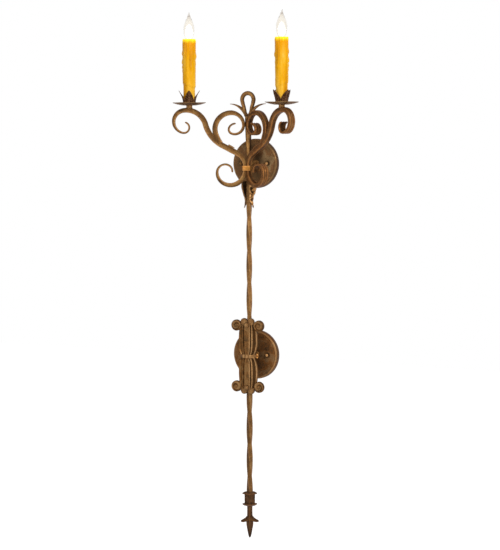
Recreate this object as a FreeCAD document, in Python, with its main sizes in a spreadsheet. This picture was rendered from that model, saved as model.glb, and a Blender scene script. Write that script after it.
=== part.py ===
import FreeCAD, Part
import math
import os
import re

import Sketcher

# A two-light wrought iron wall sconce. Millimetres, +Z up, the wall is the plane y = 0
# and the room is on the -Y side. The origin is the middle of the upper canopy on the wall.

SIZES = {
    # Wall canopies, their crossbars and what fastens them
    "canopy_spacing": 493.0,
    "canopy_radius": 63.5,
    "canopy_depth": 15.0,
    "canopy_wall": 1.2,
    "canopy_corner": 4.0,
    "crossbar_length": 108.0,
    "crossbar_width": 18.0,
    "crossbar_thickness": 2.5,
    "screw_spacing": 88.9,
    "screw_slot_width": 5.0,
    "screw_slot_length": 9.0,
    "stud_spacing": 73.0,
    "stud_radius": 2.0,
    "stud_reach": 6.0,
    "ball_nut_radius": 4.6,
    "ball_nut_neck_radius": 3.2,
    "ball_nut_neck_length": 0.5,
    "ball_nut_length": 8.4,
    "ground_screw_offset": 17.0,
    "ground_screw_radius": 1.9,
    "ground_screw_head_radius": 3.6,
    "ground_screw_head_height": 2.2,
    "foot_half_width": 12.5,
    "foot_half_height": 9.0,
    "foot_thickness": 3.0,
    "standoff_radius": 4.5,
    "standoff_bore_radius": 2.6,
    "standoff_tail": 7.5,
    "standoff_end_wall": 5.0,
    "standoff_nut_flats": 14.0,
    "standoff_nut_height": 4.0,
    # Upright: post with its loop, twisted bar, finial
    "post_standoff": 46.0,
    "bar_side": 10.4,
    "bar_top": 3.0,
    "post_height": 120.0,
    "post_top_width": 13.8,
    "post_top_depth": 9.0,
    "post_foot_side": 8.0,
    "post_lean": 2.8,
    "loop_radius": 16.2,
    "loop_height": 42.8,
    "loop_thickness": 11.2,
    "loop_depth": 9.0,
    "top_leaf_radius": 52.1,
    "top_leaf_turn": 67.2,
    "top_leaf_thickness": 9.4,
    "top_leaf_width": 9.0,
    "twist_start": 112.8,
    "quarter_twist": 83.4,
    "finial_collar_top": 846.0,
    "finial_collar_height": 37.0,
    "finial_flange_side": 27.8,
    "finial_flange_thickness": 3.4,
    "finial_flange_slope": 3.0,
    "finial_body_side": 20.3,
    "spear_shaft_side": 8.4,
    "spear_length": 84.0,
    "spear_blade_length": 60.0,
    "spear_blade_side": 12.6,
    "barb_radius": 42.0,
    "barb_turn": 42.0,
    "barb_droop": 8.0,
    "barb_thickness": 8.0,
    "barb_width": 7.0,
    # Scrolled arms, held in front of the post
    "arm_forward": 10.6,
    "arm_angle": 27.0,
    "arm_span": 150.0,
    "arm_offset": 5.7,
    "strip_thickness": 14.2,
    "strip_width": 13.4,
    "station_spacing": 5.0,
    "band_top": 5.0,
    "band_height": 12.4,
    "band_thickness": 1.6,
    "inner_scroll_heading": 54.8,
    "clip_start": 53.0,
    "clip_length": 16.0,
    "clip_height": 4.0,
    # Leaf wrap below the arms
    "wrap_top": 46.0,
    "wrap_waist": 92.0,
    "wrap_tip": 113.0,
    "wrap_top_radius": 20.5,
    "wrap_waist_radius": 11.4,
    "wrap_tip_radius": 14.8,
    "wrap_half_width": 17.6,
    "wrap_wall": 1.6,
    # Cast cartouche in front of the lower canopy
    "cartouche_height": 196.0,
    "cartouche_forward": 7.6,
    "cartouche_half_width": 27.0,
    "cartouche_waist_half_width": 21.5,
    "cartouche_thickness": 6.0,
    "cartouche_crown": 5.8,
    "rib_height": 3.0,
    "volute_radius": 14.2,
    "volute_offset": 32.0,
    "volute_inset": 19.2,
    "volute_depth": 9.0,
    "lobe_radius": 9.8,
    "lobe_offset": 9.6,
    "bud_radius": 6.6,
    "waist_band_height": 10.6,
    "waist_band_thickness": 2.0,
    "waist_band_end_half_width": 13.4,
    # Candle stack on the crest of each arm
    "neck_radius": 8.3,
    "neck_waist_radius": 7.2,
    "neck_height": 6.2,
    "neck_saddle": 2.0,
    "candle_inset": 6.83,
    "pan_radius": 42.5,
    "pan_floor_radius": 18.0,
    "pan_depth": 8.0,
    "pan_wall": 1.3,
    "cup_base_radius": 16.2,
    "cup_wall": 1.1,
    "cup_ring_height": 4.1,
    "petal_height": 34.0,
    "petal_tip_radius": 26.0,
    "petal_half_width": 10.4,
    "cover_length": 165.0,
    "cover_foot_radius": 14.8,
    "cover_radius": 16.4,
    "cover_bore_radius": 13.2,
    "cover_foot_length": 42.0,
    "riser_radius": 4.8,
    "riser_bore_radius": 3.4,
    "locknut_flats": 14.0,
    "locknut_height": 4.0,
    "socket_radius": 8.6,
    "socket_length": 38.0,
    "socket_floor": 6.0,
    "socket_sink": 5.0,
    "shell_sink": 4.0,
    "shell_wall": 0.35,
    "shell_length": 22.0,
    "contact_radius": 2.6,
    "contact_height": 3.0,
    # Flame-tip bulb with a 12 mm screw cap
    "cap_radius": 5.85,
    "cap_length": 21.0,
    "cap_tip_radius": 2.8,
    "cap_tip_length": 2.4,
    "glass_radius": 14.0,
    "glass_length": 87.0,
    "glass_wall": 0.6,
    "glass_neck_radius": 5.2,
    "glass_tail_length": 7.2,
    "glass_neck_length": 15.9,
    "glass_belly_height": 45.1,
    "glass_belly_curve": 52.85,
    "glass_shoulder_height": 79.0,
    "glass_shoulder_radius": 3.4,
    "glass_shoulder_curve": 59.8,
    "glass_tip_radius": 0.9,
    "stem_radius": 3.6,
    "stem_length": 18.0,
    "filament_length": 30.0,
    "filament_radius": 0.9,
    # Clearances
    "weld_gap": 0.1,
    "slip_fit": 0.05,
    "turning_gap": 0.1,
    "seat_gap": 0.15,
    "overrun": 5.0,
}

# Each bend of a strip: its radius as a share of arm_span, and the angle it turns through
# in degrees, positive to the left of the way along. A turn of zero is a straight run.
UPPER_BEND_SHARES = [
    (0.236, -62.2), (0.289, 0.0), (0.574, 46.8), (0.33, -86.3), (0.192, -157.2), (0.091, -178.8),
]
LOWER_BEND_SHARES = [(0.247, 114.6), (0.209, 68.5), (0.136, 111.6), (0.11, 77.3)]
INNER_BEND_SHARES = [
    (0.675, 15.6), (0.277, 109.3), (0.208, 95.2), (0.149, 106.5), (0.075, 96.9), (0.121, 63.7),
]

# Where the inner scroll springs from the arm: out and up from the arm's root, as shares of arm_span
INNER_ROOT_SHARES = (0.406, 0.364)

# Along a strip: how far, its thickness and its width, as shares of its length and section
UPPER_STRIP_SHARES = [
    (0.0, 0.73, 0.83), (0.08, 0.88, 0.93), (0.15, 1.0, 1.0), (0.42, 1.0, 1.0), (0.57, 0.91, 1.08),
    (0.66, 0.75, 1.2), (0.76, 0.6, 1.35), (0.84, 0.45, 1.5), (0.9, 0.36, 1.62), (1.0, 0.31, 1.7),
]
LOWER_STRIP_SHARES = [
    (0.0, 0.73, 0.83), (0.12, 0.86, 0.95), (0.24, 0.87, 1.02), (0.34, 0.77, 1.1), (0.55, 0.62, 1.25),
    (0.69, 0.46, 1.45), (0.76, 0.38, 1.55), (1.0, 0.35, 1.7),
]
INNER_STRIP_SHARES = [
    (0.0, 0.98, 1.0), (0.3, 0.95, 1.0), (0.45, 0.87, 1.08), (0.52, 0.73, 1.15), (0.7, 0.55, 1.35),
    (0.8, 0.45, 1.5), (0.9, 0.39, 1.62), (1.0, 0.32, 1.7),
]
LEAF_SHARES = [(0.0, 1.0, 1.0), (0.35, 0.8, 0.95), (0.7, 0.45, 0.7), (1.0, 0.14, 0.25)]
LOOP_SHARES = [(0.0, 0.6, 1.0), (0.2, 0.86, 1.0), (0.5, 1.0, 1.0), (0.8, 0.86, 1.0), (1.0, 0.6, 1.0)]

CLIP_SHARES = [(0.0, 0.5, 0.9), (0.4, 0.9, 1.0), (1.0, 1.0, 1.0)]

# Down the spear's blade: how far, and its side, as shares of its length and widest side
BLADE_SHARES = [(0.3, 1.0), (0.65, 0.74), (1.0, 0.1)]

# Half outline of the foot plate, as shares of its half width and half height
FOOT_SHARES = [(0.0, 0.66), (0.3, 0.66), (0.62, 1.0), (1.0, 0.6), (0.52, 0.0)]

# Half outline of the cartouche's plate above its waist, as shares of its half width and the volutes' height
PLATE_SHARES = [
    (0.86, 0.06), (0.95, 0.16), (1.0, 0.32), (1.01, 0.55), (0.97, 0.75), (0.9, 0.9), (0.62, 1.1),
]

# From the cartouche's middle to its edge: place and lift, as shares of its half width and rib height
RIB_SHARES = [
    (0.1, 1.0), (0.24, 0.9), (0.3, 0.1), (0.36, 0.0), (0.44, 0.8), (0.54, 0.7), (0.6, 0.0),
    (0.78, 0.1), (0.9, 0.9), (1.0, 0.8),
]

# Leaf outlines: half width and height, as shares of the leaf's half width and height
PETAL_SHARES = [(0.8, -0.15), (0.84, 0.12), (1.0, 0.42), (0.8, 0.68), (0.4, 0.88), (0.0, 1.01)]
WRAP_LEAF_SHARES = [(0.81, 0.07), (1.0, -0.17), (0.58, -0.69), (0.29, -0.84), (0.0, -1.01)]

# Turned walls: how far from the base's radius to the tip's radius, and height, as shares
PETAL_FLARE_SHARES = [(0.0, 0.0), (0.0, 0.25), (0.13, 0.5), (0.5, 0.8), (1.0, 1.0)]
WRAP_BELLY_SHARES = [(0.87, 0.0), (1.0, 0.3), (0.5, 0.7), (0.0, 1.0)]

DEGREES_PER_SQUARE = 14.0
SIDES = {"left": -1, "right": 1}
LEVELS = ("upper", "lower")

doc = FreeCAD.newDocument("WallSconce")
sheet = doc.addObject("Spreadsheet::Sheet", "Sizes")
pieces = {}


def fill_sheet():
    """Write every driving dimension into the sheet, one row each, with its alias."""
    for row, (alias, number) in enumerate(SIZES.items(), start=1):
        sheet.set("A%d" % row, alias)
        sheet.set("B%d" % row, str(number))
        sheet.setAlias("B%d" % row, alias)
    doc.recompute()


def size(expression):
    """Value of an expression of the sheet's aliases, in mm."""
    return float(sheet.evalExpression(expression))


def bound(expression):
    """The same expression as another object of the document reads it."""
    return re.sub(r"[a-z][a-z_]+", lambda found: "Sizes." + found.group(), expression)


def placed(x=0.0, y=0.0, z=0.0, turn=0.0, axis=(0, 0, 1)):
    """Placement at a point, turned by an angle in degrees about an axis."""
    return FreeCAD.Placement(FreeCAD.Vector(x, y, z), FreeCAD.Rotation(FreeCAD.Vector(*axis), turn))


def keep(name, piece):
    """Label a finished sub-part and list it for export."""
    piece.Label = name
    pieces[name] = piece
    return piece


def origin_plane(body, role):
    return next(item for item in body.Origin.OriginFeatures if item.Role == role)


def arc_middle(first, last, radius):
    """Middle of the short arc between two points; a positive radius bulges to the right."""
    half = (last - first) * 0.5
    side = FreeCAD.Vector(half.y, -half.x, 0).normalize()
    reach = abs(radius) - math.sqrt(radius * radius - half.Length ** 2)
    return first + half + side * math.copysign(reach, radius)


def profile(body, plane, outline):
    """Closed sketch whose corners, and arcs where a corner names a radius, are bound to the sheet."""
    sketch = body.newObject("Sketcher::SketchObject", body.Name + "_profile")
    sketch.AttachmentSupport = (origin_plane(body, plane), [""])
    sketch.MapMode = "FlatFace"
    corners = [FreeCAD.Vector(size(entry[0]), size(entry[1]), 0) for entry in outline]
    ends = []
    for index, entry in enumerate(outline):
        first = corners[index]
        last = corners[(index + 1) % len(corners)]
        if len(entry) == 3:
            middle = arc_middle(first, last, size(entry[2]))
            edge = sketch.addGeometry(Part.Arc(first, middle, last), False)
        else:
            edge = sketch.addGeometry(Part.LineSegment(first, last), False)
        from_start = sketch.getPoint(edge, 1).distanceToPoint(first)
        from_end = sketch.getPoint(edge, 2).distanceToPoint(first)
        ends.append((edge, 1, 2) if from_start < from_end else (edge, 2, 1))
    for index, entry in enumerate(outline):
        edge, start, _ = ends[index]
        before, _, stop = ends[index - 1]
        sketch.addConstraint(Sketcher.Constraint("Coincident", before, stop, edge, start))
        for kind, axis, text in (("DistanceX", -2, entry[0]), ("DistanceY", -1, entry[1])):
            number = size(text)
            if number == 0:
                sketch.addConstraint(Sketcher.Constraint("PointOnObject", edge, start, axis))
                continue
            row = sketch.addConstraint(Sketcher.Constraint(kind, -1, 1, edge, start, number))
            sketch.setExpression("Constraints[%d]" % row, bound(text))
        if len(entry) == 3:
            row = sketch.addConstraint(Sketcher.Constraint("Radius", edge, abs(size(entry[2]))))
            sketch.setExpression("Constraints[%d]" % row, "abs(" + bound(entry[2]) + ")")
    return sketch


def lathe(name, outline, place=None):
    """Body turned about its own Z axis from corners of radius and height."""
    body = doc.addObject("PartDesign::Body", name)
    sketch = profile(body, "XZ_Plane", outline)
    turned = body.newObject("PartDesign::Revolution", name + "_turned")
    turned.Profile = sketch
    turned.ReferenceAxis = (sketch, ["V_Axis"])
    turned.Angle = 360
    sketch.Visibility = False
    body.Placement = place or placed()
    return body


def plate(name, outline, thickness, place=None):
    """Body padded upwards from an outline in its own XY plane."""
    body = doc.addObject("PartDesign::Body", name)
    sketch = profile(body, "XY_Plane", outline)
    padded = body.newObject("PartDesign::Pad", name + "_padded")
    padded.Profile = sketch
    padded.setExpression("Length", bound(thickness))
    body.Placement = place or placed()
    return body


def cylinder(name, radius, height, place=None):
    rod = doc.addObject("Part::Cylinder", name)
    rod.setExpression("Radius", bound(radius))
    rod.setExpression("Height", bound(height))
    rod.Placement = place or placed()
    return rod


def hexagon(name, flats, height, place=None):
    prism = doc.addObject("Part::Prism", name)
    prism.Polygon = 6
    prism.setExpression("Circumradius", bound(flats) + " / sqrt(3)")
    prism.setExpression("Height", bound(height))
    prism.Placement = place or placed()
    return prism


def cut(name, base, tools):
    """The base with every tool taken away."""
    for index, tool in enumerate(tools):
        last = index == len(tools) - 1
        result = doc.addObject("Part::Cut", name if last else "%s_step_%d" % (name, index))
        result.Base = base
        result.Tool = tool
        base = result
    return base


def feature(name, shape, place=None):
    """Object that holds a shape made with Part's own functions."""
    item = doc.addObject("Part::Feature", name)
    item.Shape = shape
    if place is not None:
        item.Placement = place
    return item


def group(name, items):
    """One sub-part of several like solids."""
    result = doc.addObject("Part::Compound", name)
    result.Links = items
    return keep(name, result)


def polygon_face(points):
    wire = Part.makePolygon(points + points[:1])
    return Part.Face(wire)


def section(centre, along, across, half_along, half_across):
    """Rectangle about a centre, with its half sizes along two unit directions."""
    corners = []
    for one, two in ((-1, -1), (1, -1), (1, 1), (-1, 1)):
        corners.append(centre + along * (one * half_along) + across * (two * half_across))
    return Part.makePolygon(corners + corners[:1])


def between(table, share):
    """Thickness and width shares at a share of the length, straight between the rows."""
    for (here, thick, wide), (there, next_thick, next_wide) in zip(table, table[1:]):
        if share <= there:
            part = (share - here) / (there - here)
            return thick + (next_thick - thick) * part, wide + (next_wide - wide) * part
    return table[-1][1], table[-1][2]


def bend(start, heading, bends):
    """Stations of a bar bent through tangent arcs: each has its point, heading and length so far."""
    stations = [(start, heading, 0.0)]
    for radius, turn in bends:
        whole = radius * math.radians(abs(turn)) if turn else radius
        steps = math.ceil(whole / size("station_spacing"))
        run = whole / steps
        step = math.radians(turn / steps)
        chord = 2 * radius * math.sin(abs(step) / 2) if turn else run
        for _ in range(steps):
            point, angle, length = stations[-1]
            middle = math.radians(angle) + step / 2
            moved = point + FreeCAD.Vector(math.cos(middle), 0, math.sin(middle)) * chord
            stations.append((moved, angle + turn / steps, length + run))
    return stations


def scaled_bends(shares):
    return [(share * size("arm_span"), turn) for share, turn in shares]


def strip_sections(stations, table, thickness, width):
    """Rectangles square to the way along a bent strip that lies in its own XZ plane."""
    total = stations[-1][2]
    sections = []
    for point, angle, length in stations:
        thick, wide = between(table, length / total)
        turn = math.radians(angle)
        normal = FreeCAD.Vector(-math.sin(turn), 0, math.cos(turn))
        side = FreeCAD.Vector(0, 1, 0)
        sections.append(section(point, normal, side, thick * thickness / 2, wide * width / 2))
    return sections


def strip(stations, table, thickness, width):
    return Part.makeLoft(strip_sections(stations, table, thickness, width), True, False)


def wall_place(level, depth="0"):
    """Local +Z points into the room, local +Y up, at a depth in front of the wall."""
    drop = 0.0 if level == "upper" else -size("canopy_spacing")
    return placed(0, -size(depth), drop, 90, (1, 0, 0))


def stud_places(level, depth):
    """The two fixing points of a canopy, left and right of its middle."""
    base = wall_place(level, depth)
    shift = size("stud_spacing / 2")
    return {side: base * placed(sign * shift) for side, sign in SIDES.items()}


# Wall canopies, crossbars and their fasteners

def make_canopy(level):
    """Spun steel dish with two stud holes and one for the standoff."""
    blank = lathe(level + "_canopy_blank", [
        ("standoff_radius + slip_fit", "canopy_depth - canopy_wall"),
        ("canopy_radius - canopy_corner", "canopy_depth - canopy_wall", "canopy_wall - canopy_corner"),
        ("canopy_radius - canopy_wall", "canopy_depth - canopy_corner"),
        ("canopy_radius - canopy_wall", "0"),
        ("canopy_radius", "0"),
        ("canopy_radius", "canopy_depth - canopy_corner", "canopy_corner"),
        ("canopy_radius - canopy_corner", "canopy_depth"),
        ("standoff_radius + slip_fit", "canopy_depth"),
    ], wall_place(level))
    drills = []
    for side, place in stud_places(level, "0").items():
        name = "%s_%s_canopy_drill" % (level, side)
        drills.append(cylinder(name, "stud_radius + slip_fit", "canopy_depth + overrun", place))
    keep(level + "_canopy", cut(level + "_canopy", blank, drills))


def make_crossbar(level):
    """Flat mounting strap with two slots for the box screws and two stud holes."""
    blank = plate(level + "_crossbar_blank", [
        ("0 - crossbar_length / 2", "0 - crossbar_width / 2"),
        ("crossbar_length / 2", "0 - crossbar_width / 2"),
        ("crossbar_length / 2", "crossbar_width / 2"),
        ("0 - crossbar_length / 2", "crossbar_width / 2"),
    ], "crossbar_thickness", wall_place(level))
    through = "crossbar_thickness + overrun"
    back = wall_place(level) * placed(0, 0, -size("overrun / 2"))
    half_slot = size("screw_slot_length - screw_slot_width") / 2
    tools = []
    for side, sign in SIDES.items():
        middle = sign * size("screw_spacing / 2")
        slot = doc.addObject("Part::Box", "%s_%s_slot" % (level, side))
        slot.setExpression("Length", bound("screw_slot_length - screw_slot_width"))
        slot.setExpression("Width", bound("screw_slot_width"))
        slot.setExpression("Height", bound(through))
        slot.Placement = back * placed(middle - half_slot, -size("screw_slot_width / 2"))
        tools.append(slot)
        for end in SIDES.values():
            name = "%s_%s_slot_end_%d" % (level, side, end + 1)
            place = back * placed(middle + end * half_slot)
            tools.append(cylinder(name, "screw_slot_width / 2", through, place))
        name = "%s_%s_bar_drill" % (level, side)
        place = back * placed(sign * size("stud_spacing / 2"))
        tools.append(cylinder(name, "stud_radius + slip_fit", through, place))
    if level == "upper":
        place = back * placed(size("ground_screw_offset"))
        tools.append(cylinder("ground_drill", "ground_screw_radius + slip_fit", through, place))
    keep(level + "_crossbar", cut(level + "_crossbar", blank, tools))


def make_studs(level):
    """Two threaded studs from the crossbar, as one node of two solids."""
    rods = [
        Part.makeCylinder(size("stud_radius"), size("canopy_depth + stud_reach"))
        for _ in SIDES
    ]
    for rod, place in zip(rods, stud_places(level, "0").values()):
        rod.Placement = place
    keep(level + "_studs", feature(level + "_studs", Part.makeCompound(rods)))


def make_ball_nuts(level):
    """Round cap nuts that hold the canopy against the wall."""
    for side, place in stud_places(level, "canopy_depth + turning_gap").items():
        name = "%s_%s_ball_nut" % (level, side)
        keep(name, lathe(name, [
            ("stud_radius + slip_fit", "0"),
            ("ball_nut_neck_radius", "0"),
            ("ball_nut_neck_radius", "ball_nut_neck_length", "ball_nut_radius"),
            ("ball_nut_radius", "ball_nut_length - ball_nut_radius", "ball_nut_radius"),
            ("0", "ball_nut_length"),
            ("0", "stud_reach"),
            ("stud_radius + slip_fit", "stud_reach"),
        ], place))


def make_ground_screw():
    name = "ground_screw"
    keep(name, lathe(name, [
        ("0", "0"),
        ("ground_screw_radius", "0"),
        ("ground_screw_radius", "crossbar_thickness"),
        ("ground_screw_head_radius", "crossbar_thickness"),
        ("ground_screw_head_radius", "crossbar_thickness + ground_screw_head_height"),
        ("0", "crossbar_thickness + ground_screw_head_height"),
    ], wall_place("upper") * placed(size("ground_screw_offset"))))


def make_foot(level):
    """Four-lobed plate on the canopy's face, round the standoff."""
    quarter = [
        ("%s * foot_half_width" % across, "%s * foot_half_height" % up) for across, up in FOOT_SHARES
    ]
    mirrored = [(across, "0 - " + up) for across, up in reversed(quarter[:-1])]
    right = quarter + mirrored
    left = [("0 - " + across, up) for across, up in reversed(right[1:-1])]
    place = wall_place(level, "canopy_depth")
    name = level + "_foot"
    blank = plate(name + "_blank", right + left, "foot_thickness", place)
    drill = cylinder(name + "_drill", "standoff_radius + slip_fit", "foot_thickness + overrun", place)
    keep(name, cut(name, blank, [drill]))


def make_standoff(level, seat):
    """Hollow rod from inside the canopy to its seat, a distance in front of the wall."""
    length = seat - size("canopy_depth - standoff_tail + weld_gap")
    outer = Part.makeCylinder(size("standoff_radius"), length)
    bore = Part.makeCylinder(size("standoff_bore_radius"), length - size("standoff_end_wall"))
    place = wall_place(level, "canopy_depth - standoff_tail")
    keep(level + "_standoff", feature(level + "_standoff", outer.cut(bore), place))


def standoff_nut(level):
    """Hexagon nut on the standoff's tail, inside the canopy."""
    place = wall_place(level, "canopy_depth - canopy_wall - standoff_nut_height")
    name = level + "_standoff_nut"
    blank = hexagon(name + "_blank", "standoff_nut_flats", "standoff_nut_height", place)
    drill = cylinder(name + "_drill", "standoff_radius + slip_fit", "standoff_nut_height", place)
    return cut(name, blank, [drill])


# Upright

def twist_angle(drop):
    """Turn of the bar's square, in degrees, at a depth below the origin: a left-hand twist."""
    return max(0.0, drop - size("twist_start")) * 90.0 / size("quarter_twist")


def square_wire(side, height, turn, centre_y):
    """Horizontal square about the upright, turned by an angle in degrees."""
    angle = math.radians(turn)
    along = FreeCAD.Vector(math.cos(angle), math.sin(angle), 0)
    across = FreeCAD.Vector(-math.sin(angle), math.cos(angle), 0)
    return section(FreeCAD.Vector(0, centre_y, height), along, across, side / 2, side / 2)


def finial_turn():
    return twist_angle(size("finial_collar_top"))


def make_twisted_bar():
    """Square bar, straight behind the arms and twisted down to the finial collar."""
    top = size("bar_top")
    bottom = -size("finial_collar_top + finial_collar_height / 2 - weld_gap")
    start = -size("twist_start")
    end = -size("finial_collar_top")
    steps = round(finial_turn() / DEGREES_PER_SQUARE)
    heights = [start + (end - start) * index / steps for index in range(steps + 1)]
    y = -size("post_standoff")
    side = size("bar_side")
    wires = [square_wire(side, height, twist_angle(-height), y) for height in heights]
    twisted = Part.makeLoft(wires, True, False)
    head = Part.Face(square_wire(side, top, 0, y)).extrude(FreeCAD.Vector(0, 0, start - top))
    foot = Part.Face(square_wire(side, end, finial_turn(), y))
    tail = foot.extrude(FreeCAD.Vector(0, 0, bottom - end))
    return keep("twisted_bar", feature("twisted_bar", head.fuse(twisted).fuse(tail)))


def post_shift(height):
    """How far the post has leaned towards the room at a height."""
    lean = math.tan(math.radians(size("post_lean")))
    return -size("post_standoff") - (height - size("bar_top")) * lean


def make_post():
    """Flat-faced post that widens and leans forward towards the loop."""
    across = FreeCAD.Vector(1, 0, 0)
    deep = FreeCAD.Vector(0, 1, 0)
    foot = size("post_foot_side / 2")
    wires = []
    for height, half_width, half_depth in (
            (size("bar_top"), foot, foot),
            (size("post_height"), size("post_top_width / 2"), size("post_top_depth / 2"))):
        centre = FreeCAD.Vector(0, post_shift(height), height)
        wires.append(section(centre, across, deep, half_width, half_depth))
    return keep("upper_post", feature("upper_post", Part.makeLoft(wires, True, True)))


def loop_stations():
    """One leg up, over the crown and down the other leg, in the XZ plane."""
    radius = size("loop_radius")
    foot = size("post_top_width / 4 + weld_gap")
    rise = size("loop_height + overrun")
    reach = math.hypot(foot, rise)
    spread = math.degrees(math.atan2(rise, foot) - math.acos(radius / reach))
    leg = math.sqrt(reach * reach - radius * radius)
    start = FreeCAD.Vector(foot, 0, size("post_height - overrun"))
    return bend(start, 90 - spread, [(leg, 0), (radius, 180 + 2 * spread), (leg, 0)])


def make_loop():
    """Hanging loop whose two legs stand on the post's top."""
    stations = loop_stations()
    shape = strip(stations, LOOP_SHARES, size("loop_thickness"), size("loop_depth"))
    depth = post_shift(size("post_height"))
    shape.Placement = placed(0, depth, 0)
    reach = size("loop_radius + loop_thickness")
    below = Part.makeBox(2 * reach, 2 * reach, size("2 * overrun"))
    below.Placement = placed(-reach, depth - reach, size("post_height - 2 * overrun"))
    middle = Part.makeBox(size("weld_gap"), 2 * reach, size("loop_height"))
    middle.Placement = placed(-size("weld_gap / 2"), depth - reach, size("post_height"))
    return keep("hanging_loop", feature("hanging_loop", shape.cut(below).cut(middle)))


def make_top_leaves(loop, post):
    """Pointed leaves that curl out from both sides of the loop's foot."""
    start = FreeCAD.Vector(size("post_top_width / 4"), 0, size("post_height + weld_gap"))
    stations = bend(start, size("top_leaf_turn"), [(size("top_leaf_radius"), -size("top_leaf_turn"))])
    for side, sign in SIDES.items():
        shape = strip(stations, LEAF_SHARES, size("top_leaf_thickness"), size("top_leaf_width"))
        turn = 0 if sign > 0 else 180
        shape.Placement = placed(0, post_shift(size("post_height")), 0, turn)
        trimmed = shape.cut(loop.Shape).cut(post.Shape)
        largest = max(trimmed.Solids, key=lambda solid: solid.Volume)
        name = side + "_top_leaf"
        keep(name, feature(name, largest))


def make_finial_collar():
    """Square collar with sloped flanges, set to the bar's last turn."""
    y = -size("post_standoff")
    turn = finial_turn()
    top = -size("finial_collar_top")
    height = size("finial_collar_height")
    slope = size("finial_flange_slope")
    flat = size("finial_flange_thickness")
    flange = size("finial_flange_side")
    inner = size("finial_body_side")
    body = Part.Face(square_wire(inner, top - height / 2, turn, y))
    half = height / 2 - slope
    middle = body.extrude(FreeCAD.Vector(0, 0, half)).fuse(body.extrude(FreeCAD.Vector(0, 0, -half)))
    shape = middle
    for face, sense in ((top, -1), (top - height, 1)):
        edge = face + sense * slope
        wide = square_wire(flange, edge, turn, y)
        cone = Part.makeLoft([square_wire(inner, face, turn, y), wide], True, True)
        slab = Part.Face(wide).extrude(FreeCAD.Vector(0, 0, sense * flat))
        shape = shape.fuse(cone).fuse(slab)
    for side, face, sense in (("bar_side", top, -1), ("spear_shaft_side", top - height, 1)):
        hole = Part.Face(square_wire(size(side + " + 2 * weld_gap"), face, turn, y))
        shape = shape.cut(hole.extrude(FreeCAD.Vector(0, 0, sense * height / 2)))
    return keep("finial_collar", feature("finial_collar", shape.removeSplitter()))


def make_spear():
    """Square shaft that swells into a blade and ends in a point, and its shoulder's height."""
    collar_end = -size("finial_collar_top + finial_collar_height")
    shoulder = collar_end - size("spear_length - spear_blade_length")
    top = collar_end + size("finial_collar_height / 2 - weld_gap")
    start = spear_wire(size("spear_shaft_side"), top)
    shape = Part.Face(start).extrude(FreeCAD.Vector(0, 0, shoulder - top))
    before = spear_wire(size("spear_shaft_side"), shoulder)
    for along, wide in BLADE_SHARES:
        height = shoulder - along * size("spear_blade_length")
        after = spear_wire(wide * size("spear_blade_side"), height)
        shape = shape.fuse(Part.makeLoft([before, after], True, True))
        before = after
    return keep("spear_point", feature("spear_point", shape.removeSplitter())), shoulder


def spear_wire(side, height):
    return square_wire(side, height, finial_turn(), -size("post_standoff"))


def make_barbs(spear, shoulder):
    """Drooping barbs on two opposite corners of the spear's shaft."""
    reach = size("barb_radius")
    heading = -size("barb_turn + barb_droop")
    stations = bend(FreeCAD.Vector(0, 0, 0), heading, [(reach, size("barb_turn"))])
    corner = (finial_turn() + 45) % 90
    for side, sign in SIDES.items():
        shape = strip(stations, LEAF_SHARES, size("barb_thickness"), size("barb_width"))
        turn = corner if sign > 0 else corner + 180
        place = placed(0, -size("post_standoff"), shoulder + size("barb_thickness / 2"), turn)
        shape.Placement = place
        inner = Part.makeBox(reach, 2 * reach, 2 * reach)
        inner.Placement = place * placed(-reach, -reach, -reach)
        trimmed = shape.cut(inner).cut(spear.Shape)
        largest = max(trimmed.Solids, key=lambda solid: solid.Volume)
        name = side + "_barb"
        keep(name, feature(name, largest))


# Arms

def arm_place(side):
    """Local +X runs out along the arm, from the arms' joint in front of the post."""
    turn = -size("arm_angle") if side == "right" else 180 + size("arm_angle")
    return placed(0, -size("post_standoff + arm_forward"), 0, turn)


def arm_stations():
    """Lower scroll, straight length through the band, and the arm up to its scroll."""
    top = -size("band_top")
    bottom = -size("band_top + band_height")
    offset = size("arm_offset")
    lower = bend(FreeCAD.Vector(offset, 0, bottom), -90, scaled_bends(LOWER_BEND_SHARES))
    upper = bend(FreeCAD.Vector(offset, 0, top), 90, scaled_bends(UPPER_BEND_SHARES))
    return lower, upper


def crest():
    """Highest point of the arm's centre line, and the strip's half thickness there."""
    _, upper = arm_stations()
    for before, after in zip(upper, upper[1:]):
        if before[1] > 0 >= after[1]:
            break
    point, angle, length = before
    turn = math.radians(angle)
    radius = (after[2] - length) / math.radians(angle - after[1])
    thick, _ = between(UPPER_STRIP_SHARES, (length + radius * turn) / upper[-1][2])
    top = point.z + radius * (1 - math.cos(turn))
    return point.x + radius * math.sin(turn), top, thick * size("strip_thickness") / 2


def other_side(side):
    """Block that fills everything past the middle plane from an arm."""
    reach = size("arm_span")
    block = Part.makeBox(reach, 2 * reach, 3 * reach)
    start = -reach + size("weld_gap / 2") if side == "right" else -size("weld_gap / 2")
    block.Placement = placed(start, -size("post_standoff") - reach, -reach)
    return block


def make_arm(side):
    """S-shaped strip: scroll, candle crest, waist in the band, lower scroll."""
    lower, upper = arm_stations()
    thickness = size("strip_thickness")
    width = size("strip_width")
    lower_part = strip_sections(lower, LOWER_STRIP_SHARES, thickness, width)
    upper_part = strip_sections(upper, UPPER_STRIP_SHARES, thickness, width)
    turned = [flipped(wire) for wire in reversed(lower_part)]
    shape = Part.makeLoft(turned + upper_part, True, False)
    shape.Placement = arm_place(side)
    name = side + "_arm"
    return keep(name, feature(name, shape.cut(other_side(side))))


def flipped(wire):
    """The same rectangle, its corners in the order of a strip that runs the other way."""
    corners = [vertex.Point for vertex in wire.OrderedVertexes]
    swapped = [corners[1], corners[0], corners[3], corners[2]]
    return Part.makePolygon(swapped + swapped[:1])


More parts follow.
